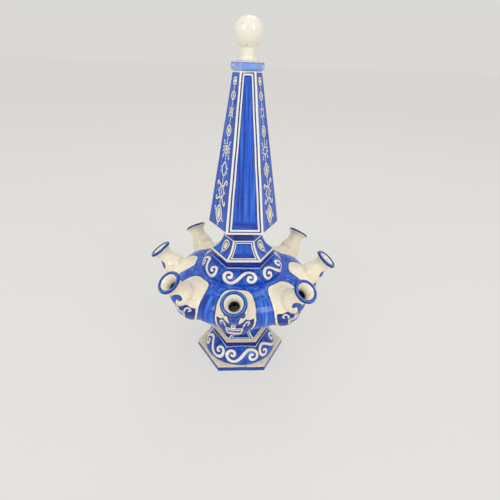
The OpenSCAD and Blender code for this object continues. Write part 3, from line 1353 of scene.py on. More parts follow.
@dataclass
class Flank(Piece):
    """Hexagonal piece with hollow flanks: the stem, or the skirt under the neck."""

    waist: float = 17.0
    foot_rim: float = 1.0
    top: float = 20.8
    bore: float = 9.0
    drop_up: float = 14.0
    drop_half: float = 4.2
    drop_stretch: float = 1.05
    drop_pear: float = 0.16
    drop_full: float = 2.0
    drop_ring: float = 0.24
    tail_gap: float = 1.4
    tail_half: Spot = (0.5, 1.7)
    line_scale: float = 0.72
    head: float = 0.0
    flared_foot: bool = True
    rib: float = 1.3
    per_side: int = 88

    def skin(self) -> Skin:
        """Gives the piece's skin, with its arcs drawn as the CAD draws them.

        Returns:
            The skin.
        """
        low, high, corner = span(self.nodes[0])
        foot = corner * COS30
        if self.flared_foot:
            sweep = foot - self.waist
            neck = low + self.foot_rim + sweep
            swell = upright_arc_radius(self.top - self.waist, high - neck)
            ease = math.degrees(math.asin((high - neck) / swell))
            outline = [(foot, low)] + arc((foot, neck), sweep, 270, 180, 22)
            outline += arc((self.waist + swell, neck), swell, 180, 180 - ease, 40)[1:]
        else:
            sweep = upright_arc_radius(foot - self.top, high - low)
            ease = math.degrees(math.asin((high - low) / sweep))
            outline = arc((self.top + sweep, high), sweep, 180 + ease, 180, 34)
        outer = [Turn(r, z, 1.0, 0.0, FINE) for r, z in outline]
        turns = [Turn(self.bore, low, 0.0)] + outer + [Turn(self.bore, high, 0.0)]
        return Skin(draw_rows(turns, True), Columns.hexagonal(self.per_side), True)

    def decorate(self, skin: Skin, paint: Paint, brush: Brush) -> None:
        """Paints the panels, and a hanging drop on the sides between them.

        Args:
            skin: The piece's skin.
            paint: Its paint.
            brush: The hand.
        """
        rows = skin.rows.between(1, len(skin.rows.stops) - 2)
        part = paint.part(rows)
        x, y, framed = paint_sides(skin, rows, part, brush, self.line_scale, self.head, self.rib)
        y = y - self.drop_up
        reach = self.drop_stretch * self.drop_half
        taper = 1 + self.drop_pear * (np.sin(np.pi / 2 * np.clip(y / reach, -1, 1)) - 1)
        drop = np.where(framed, FAR, oval_inset(x / taper, y, self.drop_half, reach, self.drop_full))
        tail = np.where(framed, FAR, bar_inset(x, y, (0.0, -reach - self.tail_gap), self.tail_half))
        part.line(np.minimum(drop, tail))
        ring = self.drop_ring * self.drop_half
        part.clear(soft(drop, -2 * ring))
        part.ink(between(drop, -2 * ring, -ring))


@dataclass
class Neck(Slab):
    """Recessed dark band that the spire sits on."""

    bore: float = 16.4
    top_edge: float = 0.6
    bore_edge: float = 0.6
    per_side: int = 40
    wash: Wash = Wash(0.62, 0.38, 3.4, 12.0, 1.6)

    def decorate(self, skin: Skin, paint: Paint, brush: Brush) -> None:
        """Brushes the band dark.

        Args:
            skin: The piece's skin.
            paint: Its paint.
            brush: The hand.
        """
        rows = skin.rows.between(1, 2)
        across, _, up = side_places(skin, rows)
        part = paint.part(rows)
        x, y = brush.wobble(across + SIDE_SHIFT * skin.columns.side[None, :], up, 0.6)
        part.flood(np.ones(up.shape), self.wash.density(brush, y, x))


@dataclass(frozen=True)
class Reserve:
    """The cream reserve below a spout, with its blue cup, its hooks and its little basket."""

    half_x: float = 23.8
    climb_at: float = 6.0
    climb_half: float = 35.0
    foot: float = -23.0
    upper_full: float = 4.0
    lower_full: float = 2.1
    outline: Stripe = Stripe(-0.25, 1.45)
    # Painted highlight: a whiter band just inside the reserve's outline, and its strength
    gleam: Spot = (-1.5, -0.1)
    gleam_shine: float = 0.7
    cup_half: float = 20.5
    cup_top: float = 4.0
    cup_foot: float = -21.0
    cup_line: Stripe = Stripe(-0.9, 0.9)
    cup_halo: Spot = (0.7, 1.7)
    cup_shine: float = 0.8
    cusp_at: float = 11.1
    brim_low: float = 4.9
    brim_rise: float = 4.7
    brim_sweep: float = 2.6
    brim_fall: float = 4.6
    brim_sag: float = 1.4
    hook: Stroke = Stroke(((9.4, -0.8), (10.2, 3.0), (12.4, 5.3), (14.9, 4.7), (15.8, 2.2), (13.9, 1.2)),
                          ((0.0, 0.75), (1.0, 0.6)))
    hook_rim: float = 0.8
    knob_at: Spot = (-0.6, 2.0)
    knob_half: Spot = (2.3, 2.1)
    knob_rim: float = 1.0
    band_at: Spot = (0.0, -1.1)
    band_half: Spot = (9.4, 0.7)
    basket_at: float = -7.4
    basket_half: float = 4.8
    basket_brim: float = 9.6
    basket_flare: float = 0.3
    basket_rim: float = 1.2
    basket_line: Stripe = Stripe(-2.2, -1.2, 0.9)
    fill_top: float = -6.6
    fill_blue: float = 0.72
    fill_line: Spot = (-7.4, -6.4)
    fill_ink: float = 0.7

    def draw(self, paint: Paint, x: Array, y: Array, climb: Array, blue: Array) -> None:
        """Paints the reserve.

        Args:
            paint: Paint of the bowl.
            x: Distance round the bowl from the spout.
            y: Height above the widest line.
            climb: Way up the profile from the widest line.
            blue: Strength of the cup's blue.
        """
        upper = oval_inset(x, climb - self.climb_at, self.half_x, self.climb_half, self.upper_full)
        lower = oval_inset(x, y - self.climb_at, self.half_x, self.climb_at - self.foot, self.lower_full)
        edge = np.where(climb > self.climb_at, upper, lower)
        self.outline.draw(paint, edge)
        paint.clear(soft(edge, 0.0))
        # Painted highlight along the inside of the outline
        paint.clear(between(edge, *self.gleam), self.gleam_shine)
        cup = self.cup(x, y)
        paint.clear(between(cup, *self.cup_halo), self.cup_shine)
        paint.flood(soft(cup, 0.0), blue)
        self.cup_line.draw(paint, cup)
        for side in (-1, 1):
            paint.line(self.hook.inset(x, y, side), self.hook_rim)
        knob = bar_inset(x, y, self.knob_at, self.knob_half)
        paint.line(np.minimum(knob, bar_inset(x, y, self.band_at, self.band_half)))
        paint.ink(soft(knob, -self.knob_rim))
        self.basket(paint, x, y)

    def cup(self, x: Array, y: Array) -> Array:
        """Measures points against the cup with its scalloped brim.

        Args:
            x: Distance round the bowl from the spout.
            y: Height above the widest line.

        Returns:
            About the signed distance to its edge, below 0 inside.
        """
        away = np.abs(x)
        boat = self.brim_low + self.brim_rise * np.clip(away / self.cusp_at, 0, 1) ** self.brim_sweep
        scallop = np.clip((away - self.cusp_at) / (self.cup_half - self.cusp_at), 0, 1)
        fall = self.brim_fall * scallop + self.brim_sag * np.sin(np.pi * scallop)
        wing = self.brim_low + self.brim_rise - fall
        drop = np.clip((self.cup_top - y) / (self.cup_top - self.cup_foot), 0, 1)
        brim = np.where(away < self.cusp_at, boat, wing)
        return np.maximum(y - brim, away - self.cup_half * np.sqrt(1 - drop**2))

    def basket(self, paint: Paint, x: Array, y: Array) -> None:
        """Paints the little basket that hangs below the cup's band.

        Args:
            paint: Paint of the bowl.
            x: Distance round the bowl from the spout.
            y: Height above the widest line.
        """
        width = self.basket_brim + self.basket_flare * (y - self.basket_at - self.basket_half)
        inset = bar_inset(x, y, (0.0, self.basket_at), (width, self.basket_half))
        paint.line(inset, self.basket_rim)
        self.basket_line.draw(paint, inset)
        core = soft(inset, self.basket_line.low)
        paint.clear(core)
        paint.flood(core * soft(-y, -self.fill_top), self.fill_blue)
        paint.ink(core * between(y, *self.fill_line), self.fill_ink)


@dataclass
class Bowl(Piece):
    """The spouted bowl with the eight rounds that swell out of it."""

    edge_round: float = 20.0
    land: float = 54.5
    wall: float = 5.0
    hole: float = 46.8
    boss_round: float = 24.0
    boss_proud: float = 9.0
    boss_rise: float = 0.67
    globe: float = 14.3
    globe_at: Spot = (90.15, 17.04)
    melt: float = 3.4
    sunk: float = 2.6
    first_spout: float = math.radians(SPOUT_TURN)
    columns_per_spout: int = 80
    axis_hole: float = 12.0
    stride: float = 0.5
    strides: int = 36
    halvings: int = 12
    wash: Wash = Wash(0.10, 0.84, 1.7, 22.0)
    large_dab: Spot = (3.4, 5.5)
    small_dab: Spot = (1.7, 2.4)
    dabbed: float = 0.8
    land_blue: float = 0.5
    reserve: Reserve = Reserve()
    reserve_shift: float = 70.0
    cup_wash: Wash = Wash(0.66, 0.40, 5.0, 5.0)
    land_corner: int = field(init=False)
    painted: slice = field(init=False)

    def __post_init__(self) -> None:
        """Works out the profile's arcs from the CAD nodes."""
        self.bottom, self.middle, _ = span("bowl_lower")
        _, self.top, self.reach = span("bowl_upper")
        self.half = self.top - self.middle
        self.edge_at = self.reach - self.edge_round
        out = self.edge_at - self.land
        self.crown = (out**2 + self.half**2 - self.edge_round**2) / (2 * (self.half - self.edge_round))
        self.crown_drop = self.crown - self.half
        self.meet = math.degrees(math.atan2(self.crown_drop, out))

    def half_outline(self, inset: float, edge_steps: int, crown_steps: int) -> list[Spot]:
        """Draws the profile from the widest line up to the land.

        Args:
            inset: Distance inside the outer profile.
            edge_steps: Chords of the edge arc.
            crown_steps: Chords of the crown arc.

        Returns:
            Points as reach, and height above the widest line.
        """
        edge = arc((self.edge_at, 0.0), self.edge_round - inset, 0, self.meet, edge_steps)
        crown = arc((self.land, -self.crown_drop), self.crown - inset, self.meet, 90, crown_steps)
        return edge + crown[1:]

    def skin(self) -> Skin:
        """Gives the bowl's skin, and swells the rounds out of it.

        Returns:
            The skin.
        """
        upper = self.half_outline(0.0, 25, 36)
        inner = self.half_outline(self.wall, 4, 4)
        outer = [(r, -z) for r, z in upper[:0:-1]] + upper
        lining = inner[::-1] + [(r, -z) for r, z in inner[1:]]
        turns = [Turn(self.axis_hole, self.bottom, 0.0)]
        turns += [Turn(r, self.middle + z, 0.0) for r, z in outer]
        turns += [Turn(self.hole, self.top, 0.0), Turn(self.hole, self.top - self.wall, 0.0)]
        turns += [Turn(r, self.middle + z, 0.0, 0.0, HIDDEN) for r, z in lining]
        turns += [Turn(self.axis_hole, self.bottom + self.wall, 0.0)]
        columns = Columns.circular(SPOUTS * self.columns_per_spout, self.first_spout)
        skin = Skin(draw_rows(turns, False), columns, False)
        self.land_corner = len(outer)
        self.painted = skin.rows.between(1, self.land_corner)
        self.swell(skin)
        return skin

    def turn_from_spout(self, columns: Columns) -> Array:
        """Gives each column's azimuth from the nearest spout."""
        step = 2 * math.pi / SPOUTS
        return (columns.azimuth - self.first_spout + step / 2) % step - step / 2

    def swell(self, skin: Skin) -> None:
        """Moves the outer rows along the profile's normal to where bowl and round melt together.

        Args:
            skin: The skin to change.
        """
        rows = self.painted
        reach, height = skin.rows.reach[rows], skin.rows.height[rows] - self.middle
        side = np.sign(height)
        on_edge = np.hypot(reach - self.edge_at, height) < self.edge_round + 1e-3
        on_edge &= reach > self.edge_at + self.edge_round * math.cos(math.radians(self.meet)) - 1e-3
        centre_r = np.where(on_edge, self.edge_at, self.land)
        centre_z = np.where(on_edge, 0.0, -side * self.crown_drop)
        normal = np.stack([reach - centre_r, height - centre_z], -1)
        normal /= np.linalg.norm(normal, axis=1, keepdims=True)
        turn = self.turn_from_spout(skin.columns)[None, :]
        boss_at = self.reach + self.boss_proud - self.boss_round

        def blend(first: Array, second: Array) -> Array:
            """Melts two distances into one."""
            share = np.clip(0.5 + 0.5 * (second - first) / self.melt, 0, 1)
            return second * (1 - share) + first * share - self.melt * share * (1 - share)

        def stopped(move: Array) -> Array:
            """Tells which points that moved out have left the melted form, or sunk into the globe.

            Args:
                move: How far each point moved.

            Returns:
                True where a point has stopped.
            """
            r = reach[:, None] + move * normal[:, :1]
            z = height[:, None] + move * normal[:, 1:]
            out, along = r * np.cos(turn), r * np.sin(turn)
            boss = np.sqrt((out - boss_at) ** 2 + along**2 + (z - self.boss_rise) ** 2) - self.boss_round
            globe_r, globe_z = self.globe_at
            globe = np.sqrt((out - globe_r) ** 2 + along**2 + (z - globe_z) ** 2) - self.globe
            return (blend(blend(move, boss), globe) >= 0) | (globe < -self.sunk)

        low = np.zeros((len(reach), turn.shape[1]))
        step = np.full_like(low, self.stride)
        for _ in range(self.strides):
            low = np.where((step > 0) & ~stopped(low + step), low + step, low)
            step = np.where(stopped(low + step), 0.0, step)
        high = low + self.stride
        for _ in range(self.halvings):
            middle = (low + high) / 2
            inside = ~stopped(middle)
            low, high = np.where(inside, middle, low), np.where(inside, high, middle)
        plan = reach[:, None] + low * normal[:, :1]
        azimuth = skin.columns.azimuth[None, :]
        skin.points[rows, :, 0] = plan * np.cos(azimuth)
        skin.points[rows, :, 1] = plan * np.sin(azimuth)
        skin.points[rows, :, 2] = self.middle + height[:, None] + low * normal[:, 1:]

    def decorate(self, skin: Skin, paint: Paint, brush: Brush) -> None:
        """Brushes the bowl blue and paints a reserve below each spout.

        Args:
            skin: The piece's skin.
            paint: Its paint.
            brush: The hand.
        """
        rows = self.painted
        part = paint.part(rows)
        place = skin.points[rows]
        shape = part.wash.shape
        height = place[..., 2] - self.middle
        turn = np.broadcast_to(self.turn_from_spout(skin.columns)[None, :], shape)
        number = np.round((skin.columns.azimuth - self.first_spout) / (2 * math.pi / SPOUTS))[None, :]
        run = np.broadcast_to(skin.rows.run[rows, None], shape)
        around = skin.columns.azimuth[None, :] * self.reach
        flat = np.abs(height) > self.dabbed * self.half
        dabs = self.wash.thin + self.wash.gain * brush.dabs(run, around, self.large_dab, self.small_dab)
        part.flood(np.ones(shape), np.where(flat, dabs, self.wash.density(brush, around, run)))
        land = skin.rows.between(self.land_corner, self.land_corner + 1)
        paint.part(land).flood(np.ones(1), self.land_blue)
        shift = self.reserve_shift * number
        x, y = brush.wobble(turn * self.reach + shift, height, 1.0, 15.0)
        widest = int(np.argmin(np.abs(skin.rows.height[rows] - self.middle)))
        climb = run - run[widest] + y - height
        self.reserve.draw(part, x - shift, y, climb, self.cup_wash.mottle(brush, around, run))


@dataclass
class Spout(Piece):
    """One spout: rolled blue lip, flared cream neck and a globe with a blue leaf."""

    turn: float = math.radians(SPOUT_TURN)
    tilt: float = math.radians(53.0)
    ring: float = 107.6
    rim_height: float = 152.2
    rim: float = 14.2
    lip: float = 2.3
    overhang: float = 0.6
    mouth: float = 11.4
    funnel: float = 12.0
    throat: float = 6.0
    waist: float = 9.5
    waist_drop: float = 11.0
    globe: float = 14.6
    globe_drop: float = 29.0
    globe_wall: float = 4.2
    root: float = 10.6
    root_wall: float = 2.8
    root_stub: float = 2.0
    columns: int = 128
    edge: float = 0.7
    lip_blue: float = 4.2
    lip_line: Stripe = Stripe(1.5, 3.7)
    lip_wash: Wash = Wash(0.16, 0.44, 2.6, 12.0, 2.0)
    leaf_girth: float = 13.0
    leaf_line: Stripe = Stripe(-0.7, 0.7)
    leaf_wash: Wash = Wash(0.36, 0.50, 3.0, 3.0)
    stalk: Stroke = Stroke(((0.0, 18.0), (0.3, 25.0), (0.0, 33.0), (0.0, 41.0)),
                           ((0.0, 1.6), (0.3, 3.0), (0.66, 4.2), (1.0, 2.6)))
    wing: tuple[Spot, ...] = ((1.4, 30.0), (4.6, 23.4), (9.0, 20.4), (12.4, 21.6), (12.8, 24.6))
    wing_half: tuple[Spot, ...] = ((0.0, 2.4), (0.5, 2.6))
    wing_tips: tuple[tuple[int, float], ...] = ((-1, 1.9), (1, 3.1))
    # Painted highlight: a white arc between each wing and the stalk, and its strength
    gleam: Stroke = Stroke(((3.0, 21.0), (4.6, 19.2), (6.0, 18.6)), ((0.0, 1.1), (1.0, 0.5)))
    gleam_shine: float = 0.9
    fringe: float = 0.9
    fringe_pitch: float = 1.5
    fringe_at: float = 39.0
    fringe_half: float = 3.0
    fringe_blur: float = 2.0
    # Painted light: how white the funnel is made, against the shade inside it
    funnel_painted_light: float = 0.3
    # Painted shade: how dark, how far below the funnel and how softly the throat is inked, standing in for
    # the shade inside
    dark: float = 0.97
    painted_shade_gap: float = 0.6
    painted_shade_blur: float = 2.0
    mouth_depth: float = 1.0
    mouth_blue: float = 0.35
    mouth_line: Stripe = Stripe(0.0, 1.1, 0.9)
    last_outside: int = field(init=False)
    local: Array = field(init=False)

    def outline(self) -> tuple[list[Turn], int]:
        """Draws the spout's profile down its outside and up its inside.

        Returns:
            The corners, and the number of the last one outside.
        """
        flare = upright_arc_radius(self.rim - self.overhang - self.waist, self.waist_drop - self.lip)
        flare_turn = math.degrees(math.asin((self.waist_drop - 2 * self.lip) / flare))
        drop = self.globe_drop - self.waist_drop
        swell = (self.waist**2 + drop**2 - self.globe**2) / (2 * (self.globe - self.waist))
        swell_at = self.waist + swell
        swell_turn = math.degrees(math.atan2(drop, swell_at))
        low = math.degrees(math.acos(self.root / self.globe))
        foot = -self.globe_drop - self.globe * math.sin(math.radians(low)) - self.root_stub
        outside = arc((self.rim - self.lip, -self.lip), self.lip, 90, -70, 10)
        outside += arc((self.waist + flare, -self.waist_drop), flare, 180 - flare_turn, 180, 10)
        outside += arc((swell_at, -self.waist_drop), swell, 180, 180 + swell_turn, 12)[1:]
        outside += arc((0.0, -self.globe_drop), self.globe, swell_turn, -low, 18)[1:] + [(self.root, foot)]
        chamber = self.globe - self.globe_wall
        tube = self.root - self.root_wall
        bell = upright_arc_radius(self.mouth - self.throat, self.funnel)
        bell_turn = math.degrees(math.asin(self.funnel / bell))
        first = -math.degrees(math.acos(tube / chamber))
        last = math.degrees(math.acos(self.throat / chamber))
        inside = [(tube, foot)] + arc((0.0, -self.globe_drop), chamber, first, last, 10)
        inside += arc((self.throat + bell, -self.funnel), bell, 180, 180 - bell_turn, 12)
        turns = [Turn(r, z, 0.0, 0.0, FINE) for r, z in outside]
        turns += [Turn(r, z, 0.0, 0.0, 1.2) for r, z in inside[:-1]]
        turns.append(Turn(self.mouth, 0.0, 0.0, self.edge, 0.4))
        return turns, len(outside) - 1

    def skin(self) -> Skin:
        """Gives the spout's skin, leaning out of the bowl.

        Returns:
            The skin.
        """
        turns, self.last_outside = self.outline()
        skin = Skin(draw_rows(turns, True), Columns.circular(self.columns, 0.0), True)
        self.local = skin.points.copy()
        lean = math.pi / 2 - self.tilt
        tip = np.array(Matrix.Rotation(lean, 3, "Y"))
        spin = np.array(Matrix.Rotation(self.turn, 3, "Z"))
        skin.points = (skin.points @ tip.T + np.array([self.ring, 0.0, self.rim_height])) @ spin.T
        return skin

    def decorate(self, skin: Skin, paint: Paint, brush: Brush) -> None:
        """Paints the lip blue and a curling leaf down the front of the globe, paints light into the funnel
        and paints shade down the throat.

        Args:
            skin: The piece's skin.
            paint: Its paint.
            brush: The hand.
        """
        run = skin.rows.run
        outer = skin.rows.between(0, self.last_outside)
        part = paint.part(outer)
        around = (skin.columns.azimuth + math.pi) % (2 * math.pi) - math.pi
        down = np.broadcast_to(run[outer, None], part.wash.shape)
        girth = np.broadcast_to(skin.rows.reach[outer, None] * around[None, :], down.shape)
        x, y = brush.wobble(girth, down, 0.8, 11.0)
        part.flood(soft(y, self.lip_blue), self.lip_wash.density(brush, y, girth))
        self.lip_line.draw(part, y)
        leaf = x / skin.rows.reach[outer, None] * self.leaf_girth
        inset = self.stalk.inset(leaf, y)
        for side, tip in self.wing_tips:
            wing = Stroke(self.wing, (*self.wing_half, (0.85, tip), (1.0, 0.8 * tip)))
            inset = np.minimum(inset, wing.inset(leaf, y, side))
            # Painted highlight between the wing and the stalk
            part.clear(soft(self.gleam.inset(leaf, y, side), 0.0), self.gleam_shine)
        fringe = self.fringe * np.abs(np.sin(self.fringe_pitch * leaf))
        inset = inset + fringe * soft(np.abs(y - self.fringe_at), self.fringe_half, self.fringe_blur)
        part.flood(soft(inset, 0.0), self.leaf_wash.mottle(brush, x, y))
        self.leaf_line.draw(part, inset)
        inner = slice(outer.stop, len(run))
        depth = -self.local[inner, :, 2]
        inside = paint.part(inner)
        # Painted light: the funnel is whitened so that it looks fully lit
        inside.clear(soft(depth, self.funnel), self.funnel_painted_light)
        # Painted shade: the throat below the funnel is inked dark
        inside.ink(soft(-depth, -self.funnel - self.painted_shade_gap, self.painted_shade_blur), self.dark)
        inside.flood(soft(depth, self.mouth_depth), self.mouth_blue)
        self.mouth_line.draw(inside, depth)


CHAIN = (
    ChainLink(Medallion.BEAD, 157.4, 3.5, 3.7),
    ChainLink(Medallion.DIAMOND, 143.7, 4.7, 5.0),
    ChainLink(Medallion.RING, 127.8, 3.8, 4.0, four(3.6, 3.9), blue_on=(1, 3)),
    ChainLink(Medallion.OVAL, 109.4, 5.1, 6.3),
    ChainLink(Medallion.SQUARE, 90.0, 4.2, 4.4,
              (*four(4.9, 5.6), *four(6.2, 1.8), (0.0, 6.2), (0.0, -6.2), *four(6.2, 8.2)), 1.15, (1, 3)),
    ChainLink(Medallion.LOZENGE, 68.9, 5.6, 8.6,
              ((-6.4, 1.8), (6.4, 1.8), (-5.9, -2.8), (5.9, -2.8)), 1.0, (5,)),
    ChainLink(Medallion.LOZENGE, 17.8, 7.5, 11.4,
              ((-8.2, 3.4), (-9.2, 5.8), (8.2, -3.4), (9.2, -5.6), (0.0, -12.8)), 1.3),
)


@dataclass
class Spire(Piece):
    """Six-sided hollow spire with framed panels and chains of medallions."""

    top_flat: float = 13.0
    wall: float = 5.05
    per_side: int = 61
    corner: float = 1.0
    ceiling_share: float = 0.84
    foot_edge: float = 0.5
    foot_step: float = 0.7
    cord_at: Spot = (0.0, 88.0)
    cord_half: Spot = (0.6, 72.0)
    cord_rim: float = 0.6
    cross_up: float = 43.5
    loop: Stroke = Stroke(((0.0, 5.0), (3.6, 4.4), (4.8, 0.0), (3.6, -4.4), (0.0, -5.0)), ((0.0, 0.8),))
    arm_root: tuple[Spot, ...] = ((0.0, 6.4), (3.4, 7.4))
    arm_curl: tuple[Spot, ...] = ((6.2, 10.6), (8.8, 12.4), (10.2, 9.8), (8.6, 8.2))
    arm_half: tuple[Spot, ...] = ((0.0, 1.05), (1.0, 0.8))
    arm_lift: float = 1.6
    bead_at: float = 7.2
    bead: float = 1.0

    def skin(self) -> Skin:
        """Gives the spire's skin, hollow and open below.

        Returns:
            The skin.
        """
        low, high, corner = span(self.nodes[0])
        flat = corner * COS30
        ceiling, inside = high - self.wall, self.top_flat - self.ceiling_share * self.wall
        turns = [Turn(AXIS_GAP, ceiling), Turn(inside, ceiling, step=HIDDEN), Turn(flat - self.wall, low),
                 Turn(flat, low, 1.0, self.foot_edge, self.foot_step), Turn(self.top_flat, high),
                 Turn(AXIS_GAP, high)]
        return Skin(draw_rows(turns, False), Columns.hexagonal(self.per_side), False, self.corner)

    def decorate(self, skin: Skin, paint: Paint, brush: Brush) -> None:
        """Paints the panels, and the chains on the sides between them.

        Args:
            skin: The piece's skin.
            paint: Its paint.
            brush: The hand.
        """
        rows = skin.rows.between(3, 4)
        part = paint.part(rows)
        x, y, framed = paint_sides(skin, rows, part, brush, 1.0)
        x = np.where(framed, FAR, x)
        part.line(bar_inset(x, y, self.cord_at, self.cord_half), self.cord_rim)
        self.cross(part, x, y - self.cross_up)
        side = np.broadcast_to(skin.columns.side[None, :], x.shape)
        for link in CHAIN:
            link.draw(part, x, y, side)

    def cross(self, paint: Paint, x: Array, y: Array) -> None:
        """Paints the cross of four curled arms.

        Args:
            paint: Paint of the spire.
            x: Distance from the side's middle line.
            y: Height from the cross's middle.
        """
        for side in (-1, 1):
            paint.line(self.loop.inset(x, y, side))
            for end in (-1, 1):
                lift = self.arm_lift * side * end
                root = [(across, end * up) for across, up in self.arm_root]
                curl = [(across, end * up + lift) for across, up in self.arm_curl]
                paint.line(Stroke((*root, *curl), self.arm_half).inset(x, y, side))
            paint.line(np.hypot(x - side * self.bead_at, y) - self.bead)


@dataclass
class Collar(Piece):
    """Rounded hexagonal collar with a cream top."""

    edge: float = 3.9
    corner: float = 7.0
    girth: float = 16.0
    bare_top: float = 1.0
    top_line: Stripe = Stripe(0.7, 1.7, 0.5)
    wash: Wash = Wash(0.06, 0.26, 3.0, 14.0, 2.0)

    def skin(self) -> Skin:
        """Gives the collar's skin.

        Returns:
            The skin.
        """
        low, high, corner = span(self.nodes[0])
        flat = corner * COS30
        turns = [Turn(AXIS_GAP, low), Turn(flat, low, 1.0, self.edge, FINE),
                 Turn(flat, high, 1.0, self.edge, FINE), Turn(AXIS_GAP, high)]
        return Skin(draw_rows(turns, False), Columns.hexagonal(26, 7), False, self.corner)

    def decorate(self, skin: Skin, paint: Paint, brush: Brush) -> None:
        """Washes the side pale blue and leaves the top cream.

        Args:
            skin: The piece's skin.
            paint: Its paint.
            brush: The hand.
        """
        height = skin.points[..., 2] - skin.points[0, 0, 2]
        around = np.broadcast_to(skin.columns.azimuth[None, :] * self.girth, height.shape)
        top = float(height.max())
        paint.flood(soft(height, top - self.bare_top), self.wash.density(brush, height, around))
        self.top_line.draw(paint, top - height)


@dataclass
class Finial(Piece):
    """Turned cream finial with a ball on a flared foot."""

    foot: float = 11.5
    rim: float = 0.8
    neck: float = 7.7
    neck_height: float = 10.5
    girth: float = 11.0
    foot_edge: float = 0.3
    tip: float = 0.6
    tint_reach: float = 0.7
    tint_cover: float = 0.6
    tint: Wash = Wash(0.12, 0.10, 4.0, 1.0)

    def skin(self) -> Skin:
        """Gives the finial's skin.

        Returns:
            The skin.
        """
        low, high, reach = span(self.nodes[0])
        half = (high - low - self.neck_height) / 2
        middle = high - half
        flat = reach - half
        sweep = self.foot - self.neck
        join = math.degrees(math.asin(min(1.0, (self.neck - flat) / half)))
        outline = [(AXIS_GAP, low), (self.foot, low)]
        outline += arc((self.foot, low + self.rim + sweep), sweep, 270, 180, 12)
        outline += arc((flat, middle), half, -90 + join, 90, 56)
        turns = [Turn(r, z, 0.0, self.foot_edge if i == 1 else 0.0, FINE)
                 for i, (r, z) in enumerate(outline)]
        return Skin(draw_rows(turns + [Turn(self.tip, high, 0.0)], False), Columns.circular(112), False)

    def decorate(self, skin: Skin, paint: Paint, brush: Brush) -> None:
        """Leaves the finial in the bare glaze, with a breath of blue at its foot.

        Args:
            skin: The piece's skin.
            paint: Its paint.
            brush: The hand.
        """
        height = skin.points[..., 2] - skin.points[0, 0, 2]
        around = np.broadcast_to(skin.columns.azimuth[None, :] * self.girth, height.shape)
        cover = self.tint_cover * soft(height, self.tint_reach)
        paint.flood(cover, self.tint.mottle(brush, around, height))


@dataclass(frozen=True)
class Lamp:
    """A tall softbox that looks at the vase: place and width in metres, and power."""

    name: str
    place: Place
    width: float
    power: float
    aim: Place = (0.0, 0.0, 0.17)

    def hang(self) -> None:
        """Hangs the lamp."""
        data = bpy.data.lights.new(self.name, "AREA")
        data.shape = "RECTANGLE"
        data.size = self.width
        data.size_y = 2 * self.width
        data.energy = self.power
        look = Vector(self.aim) - Vector(self.place)
        turned = look.to_track_quat("-Z", "Y").to_matrix().to_4x4()
        show(self.name, data).matrix_world = Matrix.Translation(self.place) @ turned


@dataclass(frozen=True)
class Studio:
    """Camera, floor, lamps and world."""

    focal_px: float = 355.7
    image_px: float = 500.0
    sensor: float = 36.0
    eye: Place = (-20.63, -398.55, 369.85)
    pitch: float = math.radians(28.086)
    yaw: float = math.radians(4.312)
    roll: float = math.radians(2.216)
    floor_size: float = 60.0
    floor_colour: Colour = srgb(236, 234, 230)
    floor_dim: float = 0.96
    floor_clouds: float = 9.0
    floor_roughness: float = 0.8
    floor_glow: float = 0.66
    floor_level: float = 0.95
    sky_level: float = 0.84
    daylight: float = 0.66
    lamps: tuple[Lamp, ...] = (
        Lamp("left_window", (-1.0, -1.2, 1.25), 0.62, 9.4),
        Lamp("right_window", (0.95, -1.25, 1.25), 0.62, 8.8),
        Lamp("back_window", (0.3, 1.0, 2.1), 0.7, 5.0),
    )

    def camera(self) -> None:
        """Puts the camera where the view was taken from."""
        data = bpy.data.cameras.new("camera")
        data.sensor_width = self.sensor
        data.lens = self.sensor * self.focal_px / self.image_px
        data.clip_start = 0.01
        level = math.cos(self.pitch)
        ahead = Vector((level * math.sin(self.yaw), level * math.cos(self.yaw), -math.sin(self.pitch)))
        right = Vector((math.cos(self.yaw), -math.sin(self.yaw), 0.0))
        above = right.cross(ahead)
        side = math.cos(self.roll) * right + math.sin(self.roll) * above
        top = math.cos(self.roll) * above - math.sin(self.roll) * right
        turned = Matrix((side, top, -ahead)).transposed().to_4x4()
        camera = show("camera", data)
        camera.matrix_world = Matrix.Translation(Vector(self.eye) * MM) @ turned
        bpy.context.scene.camera = camera

    def floor(self) -> None:
        """Lays the plain pale floor."""
        half = self.floor_size / 2
        mesh = bpy.data.meshes.new("floor")
        corners = [(-half, -half, 0), (half, -half, 0), (half, half, 0), (-half, half, 0)]
        mesh.from_pydata(corners, [], [(0, 1, 2, 3)])
        material, graph = Graph.of_material("pale_floor")
        dim = tuple(self.floor_dim * channel for channel in self.floor_colour)
        colour = graph.mix(graph.noise(graph.place(), self.floor_clouds), self.floor_colour, dim)
        glow = graph.add("ShaderNodeEmission")
        graph.feed(glow.inputs["Color"], self.floor_colour)
        graph.feed(glow.inputs["Strength"], self.floor_level)
        blend = graph.add("ShaderNodeMixShader")
        graph.link(graph.math("MULTIPLY", graph.seen(), self.floor_glow), blend.inputs[0])
        graph.link(graph.shader(colour, self.floor_roughness), blend.inputs[1])
        graph.link(glow.outputs["Emission"], blend.inputs[2])
        graph.end(blend.outputs["Shader"])
        mesh.materials.append(material)
        floor = show("floor", mesh)
        floor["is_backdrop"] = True

    def world(self) -> None:
        """Makes the even daylight, and a pale background that gloss sees too."""
        world = bpy.data.worlds.new("studio")
        world.use_nodes = True
        bpy.context.scene.world = world
        graph = Graph(world.node_tree)
        strength = graph.math("MULTIPLY_ADD", graph.seen(), self.sky_level - self.daylight, self.daylight)
        background = graph.add("ShaderNodeBackground")
        graph.feed(background.inputs["Color"], self.floor_colour)
        graph.link(strength, background.inputs["Strength"])
        output = graph.add("ShaderNodeOutputWorld")
        graph.link(background.outputs["Background"], output.inputs["Surface"])

    def build(self) -> None:
        """Sets up the whole studio."""
        bpy.context.scene.view_settings.view_transform = "Standard"
        self.camera()
        self.floor()
        self.world()
        for lamp in self.lamps:
            lamp.hang()


